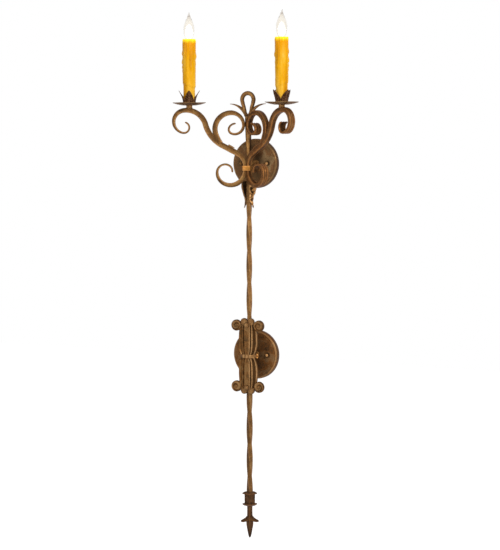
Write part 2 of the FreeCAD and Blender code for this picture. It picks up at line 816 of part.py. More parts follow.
def make_inner_scroll(side, arm, post, loop):
    """C-shaped strip that springs from the arm and curls in towards the loop, just in front of the post."""
    out, up = INNER_ROOT_SHARES
    reach = size("arm_span")
    start = FreeCAD.Vector(size("arm_offset") + out * reach, 0, up * reach - size("band_top"))
    stations = bend(start, size("inner_scroll_heading"), scaled_bends(INNER_BEND_SHARES))
    shape = strip(stations, INNER_STRIP_SHARES, size("strip_thickness"), size("strip_width"))
    shape.Placement = arm_place(side)
    trimmed = shape.cut(arm.Shape).cut(post.Shape).cut(loop.Shape).cut(other_side(side))
    largest = max(trimmed.Solids, key=lambda solid: solid.Volume)
    name = side + "_inner_scroll"
    return keep(name, feature(name, largest))


def make_arm_clip(side):
    """Lap of the inner scroll's end, dressed down on to the arm."""
    _, upper = arm_stations()
    whole = upper[-1][2]
    reach = (size("clip_start"), size("clip_start + clip_length"))
    lap = [station for station in upper if reach[0] <= station[2] <= reach[1]]
    begin = lap[0][2]
    stations = []
    for point, angle, length in lap:
        under, _ = between(UPPER_STRIP_SHARES, length / whole)
        over, _ = between(CLIP_SHARES, (length - begin) / (lap[-1][2] - begin))
        lift = (under * size("strip_thickness") + over * size("clip_height")) / 2 + size("weld_gap")
        turn = math.radians(angle)
        normal = FreeCAD.Vector(-math.sin(turn), 0, math.cos(turn))
        stations.append((point + normal * lift, angle, length - begin))
    name = side + "_arm_clip"
    shape = strip(stations, CLIP_SHARES, size("clip_height"), size("strip_width"))
    return keep(name, feature(name, shape, arm_place(side)))


def band_outline(grow):
    """Corners of the ring round both arms and the post, a distance outside them."""
    angle = math.radians(size("arm_angle"))
    outer = size("arm_offset") + size("strip_thickness") * UPPER_STRIP_SHARES[0][1] / 2
    half = size("strip_width") * UPPER_STRIP_SHARES[0][2] / 2
    front = size("post_standoff + arm_forward")
    near_x = outer * math.cos(angle) - half * math.sin(angle) + grow
    near_y = -front - outer * math.sin(angle) - half * math.cos(angle) - grow
    far_x = outer * math.cos(angle) + half * math.sin(angle) + grow
    far_y = -front - outer * math.sin(angle) + half * math.cos(angle) + grow / 2
    back_x = size("bar_side / 2") + grow
    back_y = -size("post_standoff") + size("bar_side / 2") + grow
    right = [(near_x, near_y), (far_x, far_y), (back_x, back_y)]
    left = [(-x, y) for x, y in reversed(right)]
    return [FreeCAD.Vector(x, y, -size("band_top")) for x, y in right + left]


def make_band():
    """Collar band hammered round both arms and the upright."""
    down = FreeCAD.Vector(0, 0, -size("band_height"))
    outer = polygon_face(band_outline(size("seat_gap + band_thickness"))).extrude(down)
    inner = polygon_face(band_outline(size("seat_gap"))).extrude(down)
    keep("collar_band", feature("collar_band", outer.cut(inner)))


# Leaf wrap

def turned_wall(points, wall):
    """Thin turned wall through radius and height pairs, closed by a parallel inner line."""
    outer = [FreeCAD.Vector(radius, 0, height) for radius, height in points]
    inner = [FreeCAD.Vector(radius - wall, 0, height) for radius, height in points]
    sides = []
    for line in (outer, inner):
        curve = Part.BSplineCurve()
        curve.interpolate(line)
        sides.append(curve.toShape())
    ends = [Part.makeLine(outer[0], inner[0]), Part.makeLine(outer[-1], inner[-1])]
    wire = Part.Wire(Part.__sortEdges__(sides + ends))
    return Part.Face(wire).revolve(FreeCAD.Vector(0, 0, 0), FreeCAD.Vector(0, 0, 1), 360)


def leaf_window(points, reach):
    """Prism along +X whose outline in the YZ plane is a leaf, given by its half widths."""
    right = [FreeCAD.Vector(0, half, height) for half, height in points]
    left = [FreeCAD.Vector(0, -half, height) for half, height in reversed(points) if half]
    return polygon_face(right + left).extrude(FreeCAD.Vector(reach, 0, 0))


def make_wrap(arms):
    """Two cupped leaves that clasp the bar below the arms, with flared tips."""
    top = size("wrap_top")
    belly = size("wrap_waist - wrap_top")
    whole = size("wrap_tip - wrap_top")
    narrow = size("wrap_waist_radius")
    swell = size("wrap_top_radius - wrap_waist_radius")
    line = [(narrow + out * swell, -top - down * belly) for out, down in WRAP_BELLY_SHARES]
    line.append((narrow + size("wrap_wall / 4"), -size("wrap_waist + wrap_tip") / 2))
    line.append((size("wrap_tip_radius"), -size("wrap_tip")))
    wall = turned_wall(line, size("wrap_wall"))
    half = size("wrap_half_width")
    window = leaf_window([(half * wide, -top + up * whole) for wide, up in WRAP_LEAF_SHARES], 2 * half)
    for side, sign in SIDES.items():
        leaf = wall.common(window)
        leaf.Placement = placed(0, -size("post_standoff"), 0, 0 if sign > 0 else 180)
        trimmed = leaf.cut(arms[side].Shape)
        largest = max(trimmed.Solids, key=lambda solid: solid.Volume)
        name = side + "_wrap_leaf"
        keep(name, feature(name, largest))


# Cartouche

def cartouche_outline():
    """Outline of the cast plate between its lobes, mirrored in both middles."""
    half = size("cartouche_half_width")
    top = size("cartouche_height / 2 - volute_inset")
    quarter = [(size("cartouche_waist_half_width"), 0)]
    quarter += [(half * out, top * up) for out, up in PLATE_SHARES]
    right = [(x, -z) for x, z in reversed(quarter[1:])] + quarter
    return right + [(-x, z) for x, z in reversed(right)]


def make_cartouche():
    """Fluted plate with a volute at each corner and lobes at both ends, curved back at its sides."""
    centre = FreeCAD.Vector(0, -size("post_standoff + cartouche_forward"), -size("canopy_spacing"))
    half = size("cartouche_half_width + overrun / 4")
    length = size("cartouche_height")
    mirrored = [(-share, lift) for share, lift in reversed(RIB_SHARES)]
    front = []
    back = []
    for share, lift in mirrored + RIB_SHARES:
        depth = size("cartouche_crown") * share * share
        rise = size("cartouche_thickness") + lift * size("rib_height")
        front.append(FreeCAD.Vector(share * half, depth - rise, -length / 2))
        back.append(FreeCAD.Vector(share * half, depth, -length / 2))
    fluted = polygon_face(front + back[::-1]).extrude(FreeCAD.Vector(0, 0, length))
    deep = 2 * size("cartouche_thickness + rib_height + cartouche_crown")
    outline = polygon_face([FreeCAD.Vector(x, -deep / 2, z) for x, z in cartouche_outline()])
    shape = fluted.common(outline.extrude(FreeCAD.Vector(0, deep, 0)))
    volute_z = size("cartouche_height / 2 - volute_inset")
    depth = size("volute_depth")
    back = size("volute_depth - cartouche_thickness") / 2
    for up in SIDES.values():
        for out in SIDES.values():
            x = out * size("volute_offset")
            volute = Part.makeCylinder(size("volute_radius"), depth)
            volute.Placement = placed(x, back, up * volute_z, 90, (1, 0, 0))
            lobe_z = up * (length / 2 - size("lobe_radius"))
            lobe = Part.makeCylinder(size("lobe_radius"), depth)
            lobe.Placement = placed(out * size("lobe_offset"), 0, lobe_z, 90, (1, 0, 0))
            shape = shape.fuse(volute).fuse(lobe)
        bud = Part.makeSphere(size("bud_radius"))
        bud_z = up * (length / 2 - size("lobe_radius + bud_radius / 2"))
        bud.translate(FreeCAD.Vector(0, -depth, bud_z))
        shape = shape.fuse(bud)
    keep_off = Part.makeBox(size("bar_side * 2"), depth, 2 * length)
    keep_off.Placement = placed(-size("bar_side"), 0, -length)
    shape = shape.cut(keep_off).removeSplitter()
    shape.translate(centre)
    return keep("cartouche", feature("cartouche", shape))


def make_waist_band(cartouche):
    """Strap round the cartouche's waist and the bar; also how far its back is from the wall."""
    half = size("cartouche_waist_half_width + seat_gap")
    narrow = size("waist_band_end_half_width")
    front = size("cartouche_forward + cartouche_thickness + rib_height + seat_gap")
    back = size("bar_side") * math.sqrt(0.5) + size("seat_gap")
    wall = size("waist_band_thickness")
    height = size("waist_band_height")
    base = -size("canopy_spacing") - height / 2
    rings = []
    for grow in (wall, 0.0):
        right = [
            (narrow + grow, -front - grow), (half + grow, -front + size("cartouche_thickness")),
            (half + grow, size("cartouche_crown - cartouche_forward")), (narrow + grow, back + grow),
        ]
        outline = right + [(-x, y) for x, y in reversed(right)]
        points = [FreeCAD.Vector(x, y - size("post_standoff"), base) for x, y in outline]
        rings.append(polygon_face(points).extrude(FreeCAD.Vector(0, 0, height)))
    strap = rings[0].cut(rings[1]).cut(cartouche.Shape)
    largest = max(strap.Solids, key=lambda solid: solid.Volume)
    keep("waist_band", feature("waist_band", largest))
    return size("post_standoff") - back - wall


# Candle stack

def stack_place(side, height):
    """On an arm's crest, at a height above the strip's top."""
    out, centre, half = crest()
    return arm_place(side) * placed(out - size("candle_inset"), 0, centre + half + height)


def make_neck(side, arm):
    blank = lathe(side + "_neck_blank", [
        ("riser_radius + slip_fit", "0 - neck_saddle"),
        ("neck_radius", "0 - neck_saddle"),
        ("neck_radius", "0"),
        ("neck_waist_radius", "neck_height / 2"),
        ("neck_radius", "neck_height"),
        ("riser_radius + slip_fit", "neck_height"),
    ], stack_place(side, 0))
    doc.recompute()
    pieces_left = blank.Shape.cut(arm.Shape).Solids
    top = max(pieces_left, key=lambda solid: solid.BoundBox.ZMax)
    name = side + "_neck"
    keep(name, feature(name, top))


def make_pan(side):
    """Shallow drip pan with a flat floor and a turned-up rim."""
    name = side + "_drip_pan"
    keep(name, lathe(name, [
        ("riser_radius + slip_fit", "0"),
        ("pan_floor_radius", "0"),
        ("pan_radius", "pan_depth - pan_wall"),
        ("pan_radius", "pan_depth"),
        ("pan_floor_radius", "pan_wall"),
        ("riser_radius + slip_fit", "pan_wall"),
    ], stack_place(side, size("neck_height"))))


def make_cup(side):
    """Cup of four pointed petals on a flat base."""
    base_radius = size("cup_base_radius")
    tall = size("petal_height")
    flare = size("petal_tip_radius - cup_base_radius")
    wall = size("cup_wall")
    line = [(base_radius + out * flare, up * tall) for out, up in PETAL_FLARE_SHARES]
    petals = turned_wall(line, wall)
    half = size("petal_half_width")
    outline = [(half * wide, tall * up) for wide, up in PETAL_SHARES]
    window = leaf_window(outline, size("2 * petal_tip_radius"))
    ring = Part.makeCylinder(base_radius, size("cup_ring_height"))
    inside = Part.makeCylinder(base_radius - wall, tall)
    shape = Part.makeCylinder(base_radius, wall).fuse(ring.cut(inside))
    for quarter in range(4):
        turned = window.copy()
        turned.rotate(FreeCAD.Vector(0, 0, 0), FreeCAD.Vector(0, 0, 1), 90 * quarter)
        shape = shape.fuse(petals.common(turned))
    shape = shape.cut(Part.makeCylinder(size("riser_radius + slip_fit"), tall))
    name = side + "_petal_cup"
    keep(name, feature(name, shape.removeSplitter(), stack_place(side, size("neck_height + pan_wall"))))


def cup_floor():
    return size("neck_height + pan_wall + cup_wall")


def locknut(side):
    """Hexagon nut that clamps neck, pan and cup together."""
    place = stack_place(side, cup_floor())
    blank = hexagon(side + "_locknut_blank", "locknut_flats", "locknut_height", place)
    drill = cylinder(side + "_locknut_drill", "riser_radius + slip_fit", "locknut_height", place)
    return cut(side + "_locknut", blank, [drill])


def cover_top():
    return cup_floor() + size("seat_gap + cover_length")


def socket_base():
    return cover_top() - size("socket_sink + socket_length")


def make_riser(side):
    """Threaded tube from inside the neck to the socket's foot."""
    start = size("riser_radius / 2")
    length = socket_base() + size("socket_floor / 2") - start
    outer = Part.makeCylinder(size("riser_radius"), length)
    bore = Part.makeCylinder(size("riser_bore_radius"), length)
    name = side + "_riser"
    keep(name, feature(name, outer.cut(bore), stack_place(side, start)))


def make_socket(side):
    """Insulating socket body, screw shell and centre contact."""
    name = side + "_socket"
    shell = "cap_radius + turning_gap"
    place = stack_place(side, socket_base())
    keep(name, lathe(name, [
        ("riser_bore_radius", "socket_floor"),
        ("riser_bore_radius", "socket_floor / 2"),
        ("riser_radius + slip_fit", "socket_floor / 2"),
        ("riser_radius + slip_fit", "0"),
        ("socket_radius", "0"),
        ("socket_radius", "socket_length"),
        (shell + " + shell_wall + slip_fit", "socket_length"),
        (shell + " + shell_wall + slip_fit", "socket_floor"),
    ], place))
    name = side + "_screw_shell"
    keep(name, lathe(name, [
        (shell, "0"),
        (shell + " + shell_wall", "0"),
        (shell + " + shell_wall", "shell_length"),
        (shell, "shell_length"),
    ], stack_place(side, socket_base() + size("socket_length - shell_sink - shell_length"))))
    name = side + "_centre_contact"
    keep(name, lathe(name, [
        ("0", "0"),
        ("riser_bore_radius + riser_radius / 4", "0"),
        ("riser_bore_radius + riser_radius / 4", "contact_height / 3"),
        ("contact_radius", "contact_height / 3"),
        ("contact_radius", "contact_height"),
        ("0", "contact_height"),
    ], stack_place(side, socket_base() + size("socket_floor"))))


def make_cover(side):
    """Candle sleeve that drops over the socket and stands in the cup."""
    name = side + "_candle_cover"
    keep(name, lathe(name, [
        ("cover_bore_radius", "0"),
        ("cover_foot_radius", "0"),
        ("cover_foot_radius", "cover_foot_length"),
        ("cover_radius", "cover_foot_length * 1.2"),
        ("cover_radius", "cover_length"),
        ("cover_bore_radius", "cover_length"),
    ], stack_place(side, cup_floor() + size("seat_gap"))))


def make_bulb(side):
    """Screw cap, flame-tip glass and stem with its filament."""
    tip = socket_base() + size("socket_floor + contact_height + turning_gap")
    name = side + "_bulb_cap"
    keep(name, lathe(name, [
        ("0", "0"),
        ("cap_tip_radius", "0"),
        ("cap_tip_radius", "cap_tip_length / 2"),
        ("cap_radius", "cap_tip_length"),
        ("cap_radius", "cap_length"),
        ("glass_neck_radius + slip_fit", "cap_length"),
        ("glass_neck_radius + slip_fit", "cap_length - glass_tail_length"),
        ("0", "cap_length - glass_tail_length"),
    ], stack_place(side, tip)))
    name = side + "_bulb_glass"
    inner_shoulder = "glass_shoulder_radius - glass_wall"
    neck = tip + size("cap_length - glass_tail_length + slip_fit")
    keep(name, lathe(name, [
        ("glass_neck_radius - glass_wall", "0"),
        ("glass_neck_radius", "0"),
        ("glass_neck_radius", "glass_neck_length", "glass_belly_curve"),
        ("glass_radius", "glass_belly_height", "glass_shoulder_curve"),
        ("glass_shoulder_radius", "glass_shoulder_height"),
        ("glass_tip_radius", "glass_length"),
        ("0", "glass_length"),
        ("0", "glass_length - glass_wall * 3"),
        (inner_shoulder, "glass_shoulder_height - glass_wall", "0 - glass_shoulder_curve"),
        ("glass_radius - glass_wall", "glass_belly_height", "0 - glass_belly_curve"),
        ("glass_neck_radius - glass_wall", "glass_neck_length"),
    ], stack_place(side, neck)))
    name = side + "_bulb_stem"
    keep(name, lathe(name, [
        ("0", "0"),
        ("stem_radius", "0"),
        ("stem_radius", "stem_length / 3"),
        ("filament_radius", "stem_length"),
        ("filament_radius", "stem_length + filament_length"),
        ("0", "stem_length + filament_length"),
    ], stack_place(side, neck)))


def check_and_write():
    """Stop on any failed object, then write one file for each sub-part."""
    doc.recompute()
    for item in doc.Objects:
        if "Invalid" in item.State or "Error" in item.State:
            raise RuntimeError("failed: " + item.Name)
    for name, piece in pieces.items():
        if piece.Shape.isNull() or not piece.Shape.isValid() or not piece.Shape.Solids:
            raise RuntimeError("bad shape: " + name)
    os.makedirs("parts", exist_ok=True)
    for name, piece in pieces.items():
        piece.Shape.exportStep("parts/%s.step" % name)
    print(len(pieces), "sub-parts written")


def main():
    fill_sheet()
    make_twisted_bar()
    post = make_post()
    loop = make_loop()
    make_top_leaves(loop, post)
    make_finial_collar()
    spear, shoulder = make_spear()
    make_barbs(spear, shoulder)
    arms = {side: make_arm(side) for side in SIDES}
    for side, arm in arms.items():
        make_inner_scroll(side, arm, post, loop)
        make_arm_clip(side)
        make_neck(side, arm)
        make_pan(side)
        make_cup(side)
        make_riser(side)
        make_socket(side)
        make_cover(side)
        make_bulb(side)
    make_band()
    make_wrap(arms)
    cartouche = make_cartouche()
    lower_seat = make_waist_band(cartouche)
    for level in LEVELS:
        make_canopy(level)
        make_crossbar(level)
        make_studs(level)
        make_ball_nuts(level)
        make_foot(level)
    make_ground_screw()
    make_standoff("upper", size("post_standoff - bar_side / 2"))
    make_standoff("lower", lower_seat)
    group("candle_locknuts", [locknut(side) for side in SIDES])
    group("standoff_nuts", [standoff_nut(level) for level in LEVELS])
    check_and_write()


main()
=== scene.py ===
"""Visual model of a forged wall sconce with two electric candles.

Lengths are in millimetres until a mesh is written, and a mesh is in metres in the CAD model's
frame: the origin is the middle of the upper canopy on the wall, -Y is the room and +Z is up.
"""

import logging
import math
from dataclasses import dataclass
from enum import Enum
from typing import Optional, Sequence

import bpy
import numpy as np
from mathutils import Matrix, Vector


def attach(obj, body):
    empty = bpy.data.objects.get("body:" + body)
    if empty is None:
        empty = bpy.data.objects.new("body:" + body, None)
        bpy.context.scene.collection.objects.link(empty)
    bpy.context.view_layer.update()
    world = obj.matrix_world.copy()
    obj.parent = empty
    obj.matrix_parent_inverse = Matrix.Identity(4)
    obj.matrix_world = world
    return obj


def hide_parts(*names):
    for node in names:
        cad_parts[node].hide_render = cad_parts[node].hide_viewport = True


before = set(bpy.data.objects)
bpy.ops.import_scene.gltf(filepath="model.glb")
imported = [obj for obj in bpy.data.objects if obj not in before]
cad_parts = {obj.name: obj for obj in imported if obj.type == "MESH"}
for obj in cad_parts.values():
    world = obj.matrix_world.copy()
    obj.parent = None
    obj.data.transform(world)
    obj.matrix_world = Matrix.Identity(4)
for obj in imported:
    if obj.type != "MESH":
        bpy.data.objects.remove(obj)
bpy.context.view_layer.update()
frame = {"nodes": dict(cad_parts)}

LOG = logging.getLogger("sconce")
METRE = 0.001
CIRCLE = 2 * np.pi
# depth of the twisted bar's axis in front of the wall
BACK = 46.0
FORGED = "bronzed_forged_iron"
SHEET = "bronzed_sheet_steel"
Array = np.ndarray
Line = tuple[Array, Array, Array]
Table = Sequence[Sequence[float]]
Material = bpy.types.Material
Socket = bpy.types.NodeSocket


class Named(Enum):
    """Options whose names begin the names of CAD nodes."""

    @property
    def word(self) -> str:
        """Name used in the CAD nodes."""
        return self.name.lower()

    def names(self, *words: str) -> list[str]:
        """Names of pieces or nodes that this option begins."""
        return [f"{self.word}_{word}" for word in words]


class Side(Named):
    """The two sides of the sconce, as seen from the room."""

    LEFT = -1
    RIGHT = 1


class Level(Named):
    """The two canopies, with their heights in mm."""

    UPPER = 0.0
    LOWER = -493.0


# Meshes


class Shell:
    """Gathers closed surfaces into one mesh, each turned so that its faces point outwards."""

    def __init__(self, grid: Optional[Array] = None, endless: bool = False, **marks: object) -> None:
        """Start empty, or with one surface.

        Args:
            grid: the surface, as add takes it.
            endless: whether its last row meets its first.
            marks: its point values.
        """
        self.points: list[Array] = []
        self.faces: list[list[int]] = []
        self.marks: dict[str, list[Array]] = {}
        self.count = 0
        if grid is not None:
            self.add(grid, endless, **marks)

    def add(self, grid: Array, endless: bool = False, **marks: object) -> None:
        """Add a tube of closed rows, with a flat face over each end that it has.

        The volume is the sum over triangles of a . (b x c) / 6; where it is negative the
        faces are turned round.

        Args:
            grid: points of shape (rows, columns, 3), each row a closed loop.
            endless: whether the last row meets the first, which leaves no end to close.
            marks: named values that fit (rows, columns), kept as point attributes.
        """
        rows, columns = grid.shape[:2]
        index = np.arange(rows * columns).reshape(rows, columns)
        after = np.roll(index, -1, axis=1)
        cells = np.stack([index, after, np.roll(after, -1, axis=0), np.roll(index, -1, axis=0)], axis=-1)
        quads = (cells if endless else cells[:-1]).reshape(-1, 4)
        ends = [] if endless else [index[0][::-1], index[-1]]
        fans = [np.stack([np.full(columns - 2, row[0]), row[1:-1], row[2:]], axis=-1) for row in ends]
        tris = np.concatenate([quads[:, [0, 1, 2]], quads[:, [0, 2, 3]]] + fans)
        flat = grid.reshape(-1, 3)
        a, b, c = (flat[tris[:, k]] for k in range(3))
        volume = float(np.einsum("ij,ij->", a, np.cross(b, c))) / 6.0
        sense = 1 if volume >= 0 else -1
        self.faces.extend((quads[:, ::sense] + self.count).tolist())
        self.faces.extend((row[::sense] + self.count).tolist() for row in ends)
        self.points.append(flat)
        for name in {**self.marks, **marks}:
            kept = self.marks.setdefault(name, [np.zeros(self.count)] if self.count else [])
            kept.append(np.broadcast_to(marks.get(name, 0.0), (rows, columns)).reshape(-1))
        self.count += rows * columns

    def finish(self, name: str, node: str, material: Material, slot: str = FORGED, body: str = "fixture",
               crease: float = 38.0) -> None:
        """Write the surfaces as one piece at the origin that stands for a CAD node.

        Args:
            name: the piece's name.
            node: the CAD node that it replaces; empty for none.
            material: its finish.
            slot: the record's material slot; not used.
            body: the CAD body that carries it.
            crease: angle in degrees past which an edge is sharp.
        """
        mesh = bpy.data.meshes.new(name)
        mesh.from_pydata((np.concatenate(self.points) * METRE).tolist(), [], self.faces)
        mesh.polygons.foreach_set("use_smooth", np.ones(len(mesh.polygons), dtype=bool))
        for mark, values in self.marks.items():
            layer = mesh.attributes.new(mark, "FLOAT", "POINT")
            layer.data.foreach_set("value", np.concatenate(values).astype(np.float32))
        mesh.set_sharp_from_angle(angle=math.radians(crease))
        mesh.materials.append(material)
        mesh.update()
        piece = bpy.data.objects.new(name, mesh)
        bpy.context.scene.collection.objects.link(piece)
        if node:
            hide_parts(node)
        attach(piece, body)
        LOG.info("%s: %d points, %d faces", name, self.count, len(self.faces))


def points(*columns: object) -> Array:
    """Grid of points from coordinates that fit each other's shape."""
    return np.stack(np.broadcast_arrays(*columns), -1)


def full_turn(columns: int) -> Array:
    """Angles round a circle, as one row."""
    return np.linspace(0, CIRCLE, columns, endpoint=False)[None, :]


def ramp(value: Array, start: float, end: float) -> Array:
    """Straight rise from 0 at the start to 1 at the end."""
    return np.clip((value - start) / (end - start), 0, 1)


def unevenness(places: Array, wavelength: float, seed: int) -> Array:
    """Smooth random field: the mean of sines along random directions, about -1 to 1.

    Args:
        places: points of shape (..., 3), in mm.
        wavelength: typical distance between crests, in mm.
        seed: picks the directions and phases.

    Returns:
        One value for each point.
    """
    waves = 14
    chance = np.random.default_rng(seed)
    ways = chance.normal(size=(waves, 3))
    ways /= np.linalg.norm(ways, axis=1, keepdims=True)
    lengths = wavelength * chance.uniform(0.7, 1.6, size=(waves, 1))
    phases = chance.uniform(0, CIRCLE, size=waves)
    return np.sin(places @ (ways * (CIRCLE / lengths)).T + phases).sum(axis=-1) / math.sqrt(waves)


def dents(places: Array, wavelength: float, seed: int, low: float = -1.4, high: float = 0.3) -> Array:
    """Hammer marks: the random field cut off at both limits and lowered until its top is 0."""
    return np.clip(unevenness(places, wavelength, seed), low, high) - high


def away(grid: Array, centre: Array, least: float = 1e-6) -> Array:
    """Directions from a centre line to the points, of length 1 from a least distance on."""
    way = grid - centre
    return way / np.maximum(np.linalg.norm(way, axis=-1, keepdims=True), least)


def along_rows(table: Table, shares: Array) -> list[Array]:
    """Columns of a table at shares of the length.

    Between two rows the value goes as the mean of t and 3t^2 - 2t^3, which softens the
    corner at a row.

    Args:
        table: rows of share and values.
        shares: where to read it.

    Returns:
        One array for each value column.
    """
    rows = np.array(table, float)
    place = np.clip(np.searchsorted(rows[:, 0], shares, side="right") - 1, 0, len(rows) - 2)
    t = np.clip((shares - rows[place, 0]) / (rows[place + 1, 0] - rows[place, 0]), 0, 1)
    eased = 0.5 * t + 0.5 * t * t * (3 - 2 * t)
    return [rows[place, k] + (rows[place + 1, k] - rows[place, k]) * eased for k in range(1, rows.shape[1])]


def smooth_rows(table: Table, at: Array) -> list[Array]:
    """Smooth curves through the rows of a table.

    Between two rows a curve is the cubic whose slope at each row is that of the line through
    the rows on both sides.

    Args:
        table: rows of place and values, rising or falling.
        at: where to read the curves.

    Returns:
        One array for each value column.
    """
    rows = np.array(table, float)
    if rows[0, 0] > rows[-1, 0]:
        rows = rows[::-1]
    places, values = rows[:, 0], rows[:, 1:].T
    slopes = np.gradient(values, places, axis=1)
    k = np.clip(np.searchsorted(places, at, side="right") - 1, 0, len(places) - 2)
    span = places[k + 1] - places[k]
    t = np.clip((at - places[k]) / span, 0, 1)
    return list((1 + 2 * t) * (1 - t) ** 2 * values[:, k] + t * (1 - t) ** 2 * span * slopes[:, k]
                + t * t * (3 - 2 * t) * values[:, k + 1] + t * t * (t - 1) * span * slopes[:, k + 1])


def bar_section(half_t: Array, half_w: Array, corner: float, arc_steps: int = 5,
                flat_steps: int = 7) -> tuple[Array, Array, Array]:
    """Rectangles with rounded corners, one closed loop for each row.

    A point is (a (t - r) + r c, b (w - r) + r s): the corners take a quarter circle each
    with a and b at 1 or -1, and on the flats one of them runs from corner to corner.

    Args:
        half_t: half thickness of each row.
        half_w: half width of each row.
        corner: corner radius.
        arc_steps: points on each corner.
        flat_steps: points on each flat.

    Returns:
        Offsets across the thickness and the width, and how near to a corner each point is.
    """
    turn = np.linspace(0, np.pi / 2, arc_steps)
    run = np.linspace(1, -1, flat_steps + 2)[1:-1]
    a = np.concatenate([np.ones(arc_steps), run])
    b = np.ones(len(a))
    c = np.concatenate([np.cos(turn), run * 0])
    s = np.concatenate([np.sin(turn), run * 0 + 1])
    quarters = [(a, b, c, s), (-b, a, -s, c), (-a, -b, -c, -s), (b, -a, s, -c)]
    a, b, c, s = (np.concatenate(column) for column in zip(*quarters))
    r = np.minimum(corner, np.minimum(half_t, half_w) * 0.98)[:, None]
    t = a * (half_t[:, None] - r) + r * c
    w = b * (half_w[:, None] - r) + r * s
    return t, w, np.broadcast_to(np.minimum(np.abs(a), np.abs(b)) ** 5, t.shape)


def arc_chain(start: Sequence[float], heading: float, bends: Table, step: float = 1.2) -> Line:
    """Plane line of tangent arcs and straight runs.

    On an arc of radius R the way turns evenly, so a point is the start plus the sum of the
    chord at each middle heading; a straight run has a turn of zero and R is its length.

    Args:
        start: first point, in mm.
        heading: first direction in degrees, 0 along the first axis.
        bends: pairs of radius and turn in degrees, positive to the left.
        step: distance between points.

    Returns:
        Points of shape (n, 2), headings in radians, and lengths so far.
    """
    turns: list[Array] = []
    runs: list[Array] = []
    for radius, turn in bends:
        whole = radius * math.radians(abs(turn)) if turn else radius
        steps = max(2, math.ceil(whole / step))
        turns.append(np.full(steps, math.radians(turn) / steps))
        runs.append(np.full(steps, whole / steps))
    turned = np.concatenate(turns)
    run = np.concatenate(runs)
    after = math.radians(heading) + np.cumsum(turned)
    middle = after - turned / 2
    half = np.maximum(np.abs(turned) / 2, 1e-9)
    moves = points(np.cos(middle), np.sin(middle)) * (run * np.sin(half) / half)[:, None]
    place = np.concatenate([[np.zeros(2)], np.cumsum(moves, axis=0)]) + np.array(start, float)
    return place, np.append(math.radians(heading), after), np.append(0.0, np.cumsum(run))


@dataclass(frozen=True)
class Placement2D:
    """A vertical plane in the CAD frame that holds a bent strip."""

    origin: tuple[float, float, float]
    azimuth: float

    def place(self, u: Array, side: Array, z: Array) -> Array:
        """Points from plane coordinates.

        Args:
            u: distance out along the plane.
            side: distance square to it.
            z: height.

        Returns:
            Points of shape (..., 3).
        """
        turn = math.radians(self.azimuth)
        out = np.array([math.cos(turn), math.sin(turn), 0.0])
        square = np.array([-math.sin(turn), math.cos(turn), 0.0])
        up = np.array([0.0, 0.0, 1.0])
        return np.array(self.origin) + u[..., None] * out + side[..., None] * square + z[..., None] * up


